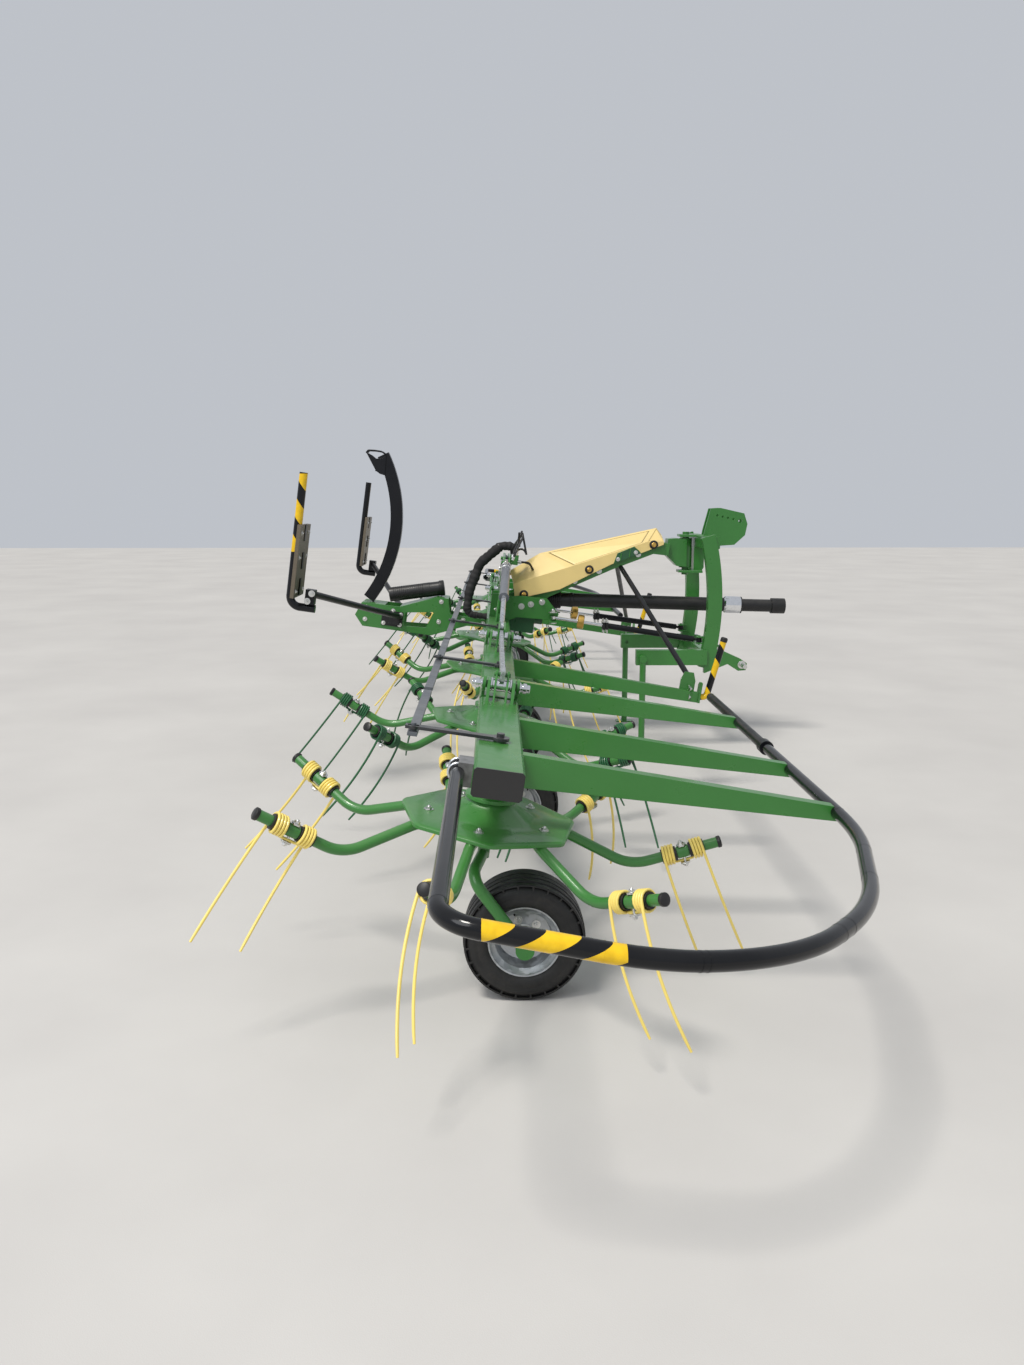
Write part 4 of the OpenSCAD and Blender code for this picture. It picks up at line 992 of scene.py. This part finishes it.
def front_markers():
    """Tape and end caps on the front marker tubes."""
    for side, s in SIDES.items():
        tape, cap = Shape(), Shape()
        a, b = til(1180, s * 1398.5, 118), til(1222, s * 1394, 440)
        way = (b - a).normalized()
        tape.tube([a + way * 0.012, b], 0.0175, 28)
        cap.lathe([(0.0175, -0.012), (0.0195, -0.01), (0.0195, 0.008), (0.013, 0.014), (0, 0.014)],
                  aim(b, way), 28)
        tape.finish(f"front_marker_{side}", "post", "frame")
        cap.finish(f"front_marker_cap_{side}", "plastic", "frame")


def damper_trim():
    """Brass-coloured end stop, bolted clamp and eye of each damper."""
    for side, s in SIDES.items():
        root, front = lev(393, 270 * s, 849), lev(1345, 340 * s, 709)
        way = (front - root).normalized()
        stop, clamp, zinc, pin = Shape(), Shape(), Shape(), Shape()
        stop.lathe([(0.0203, -0.021), (0.04, -0.021), (0.045, -0.016), (0.045, 0.016), (0.04, 0.021),
                    (0.0203, 0.021)], aim(root + way * 0.185, way), 40)
        stop.finish(f"damper_stop_{side}", "brass", f"damper_rod_{side}")
        m = aim(root + way * 0.345, way)
        clamp.lathe([(0.0192, -0.018), (0.0265, -0.018), (0.0265, 0.018), (0.0192, 0.018)], m, 32)
        for h in (-1, 1):
            for y in (-1, 1):
                place_at = root + way * 0.345 + Vector((0.011 * h, y * 0.03, 0))
                clamp.box((-0.008, -0.008, -0.024), (0.008, 0.008, 0.024), Matrix.Translation(place_at),
                          0.002)
                zinc.tube([place_at - Vector((0, 0, 0.045)), place_at + Vector((0, 0, 0.045))], 0.0045, 12)
                zinc.bolt(place_at + Vector((0, 0, 0.024)), (0, 0, 1), 0.008)
        clamp.finish(f"damper_clamp_{side}", "plastic", f"damper_tube_{side}")
        zinc.finish(f"damper_clamp_bolts_{side}", "bolt", f"damper_tube_{side}")
        pin.bolt(root + Vector((0, 0, 0.0325)), (0, 0, 1), 0.017)
        pin.lathe([(0, -0.0405), (0.024, -0.0405), (0.024, -0.0322), (0, -0.0322)], aim(root, (0, 0, 1)), 28)
        pin.finish(f"damper_root_pin_{side}", "bolt", "frame")


def post_bracket():
    """Flared holder at the curved post's top, open upwards, with its rim bent over."""
    shape = Shape()
    plate = [(-1014, 1195), (-936, 1084), (-907, 1068), (-874, 1063), (-880, 1190), (-911, 1169),
             (-946, 1162), (-978, 1181)]
    for y0, y1 in ((-35, -31), (31, 35)):
        shape.prism(mm(plate), y0 / 1000, y1 / 1000, UPRIGHT)
    front = [(-1012, 1194), (-1001, 1209), (-960, 1213), (-913, 1213), (-885, 1198)]
    rim = rounded([til(x, -33, h) for x, h in front] + [til(x, 33, h) for x, h in front[::-1]],
                  [0.008, 0.03, 0.03, 0.004, 0.004, 0.03, 0.03, 0.008], 20)
    shape.tube(rim, 0.005, 12)
    for x, h in ((-1011, 1193), (-936, 1086)):
        shape.tube([til(x, -33, h), til(x, 33, h)], 0.005, 12)
    shape.finish("post_holder", "black", "frame")


def arm_clamps():
    """Bolted clamps of the light arms, on the rear bracket and at the markers."""
    for side, s in SIDES.items():
        block, zinc = Shape(), Shape()
        base = TILTED @ Matrix.Translation((-0.7, s * 0.1245, 0.138))
        block.box((-0.07, -0.004, -0.05), (0.07, 0.004, 0.05), base, 0.004)
        block.box((-0.02, -0.004 + 0.018 * s, -0.036), (0.055, 0.004 + 0.018 * s, 0.036), base, 0.004)
        for x, h in ((-55, 35), (55, 35), (-55, -35), (55, -35)):
            zinc.bolt(til(-700 + x, s * 128.6, 138 + h), (0, s, 0), 0.0085)
        for x, h in ((-1032, 374), (-1052, 330)):
            zinc.bolt(til(x, s * 1434.2, h), (0, s, 0), 0.0105)
        block.finish(f"arm_clamp_{side}", "plastic", "frame")
        zinc.finish(f"arm_clamp_bolts_{side}", "bolt", "frame")


def hood_window_shade():
    """Cut in each hood flank where the stays meet the drawbar, framed, with a dark green sheet flush in the
    flank as painted shade for the green wall behind.
    """
    for side, s in SIDES.items():
        dark, edge, bolts = Shape(), Shape(), Shape()
        window = [(706, 713), (720, 782), (822, 841), (858, 818), (872, 804)]
        y0, y1 = sorted((-s * 0.1499, -s * 0.1507))
        # Painted shade: a dark green sheet flush with the flank, in place of an opening onto the shaded wall
        # behind.
        dark.prism(mm(window), y0, y1, UPRIGHT)
        rim = [til(x, s * 150.6, h) for x, h in window]
        edge.tube(rim, 0.0022, 8)
        for x, low, high in ((745, 738, 790), (800, 768, 822)):
            edge.tube([til(x, s * 151, low), til(x, s * 151, high)], 0.004, 10)
        bolts.bolt(til(728, s * 150.8, 745), (0, s, 0), 0.008)
        bolts.bolt(til(838, s * 150.8, 806), (0, s, 0), 0.008)
        dark.finish(f"hood_window_{side}", "dark_green", "frame")
        edge.finish(f"hood_window_frame_{side}", "green", "frame")
        bolts.finish(f"hood_window_bolts_{side}", "bolt", "frame")


def end_clamps():
    """Galvanised U-bolts that hold the guard bow to the clamp at the beam's end."""
    for side, s in SIDES.items():
        body = f"tip_body_{side}"
        shape = Shape()
        for y in (3975, 4035):
            centre = til(-121, s * y, 206)
            pts = []
            for k in range(13):
                a = math.pi / 2 + math.pi * k / 12
                pts.append(centre + tilt_way(math.cos(a) * 0.0265, 0, math.sin(a) * 0.0265))
            pts = [pts[0] + tilt_way(0.03, 0, 0)] + pts + [pts[-1] + tilt_way(0.03, 0, 0)]
            shape.tube(pts, 0.005, 10)
        shape.finish(f"bow_u_bolts_{side}", "zinc", body)


def details():
    hinge_trim()
    hood_fasteners()
    frame_bolts()
    hydraulics()
    sleeve_folds()
    lift_cylinders()
    lights()
    canister()
    shaft_guard()
    end_clamps()
    struts()
    front_markers()
    damper_trim()
    post_bracket()
    arm_clamps()
    hood_window_shade()


# Floor
def floor():
    n, size = 24, 60.0
    verts = [(-size / 2 + size * i / n, -size / 2 + size * j / n, -0.0005)
             for j in range(n + 1) for i in range(n + 1)]
    faces = [[j * (n + 1) + i, j * (n + 1) + i + 1, (j + 1) * (n + 1) + i + 1, (j + 1) * (n + 1) + i]
             for j in range(n) for i in range(n)]
    mesh = bpy.data.meshes.new("floor")
    mesh.from_pydata(verts, [], faces)
    mesh.materials.append(floor_material())
    o = bpy.data.objects.new("floor", mesh)
    bpy.context.scene.collection.objects.link(o)


camera()
studio()
finishes()
rotors()
wheels()
details()
floor()
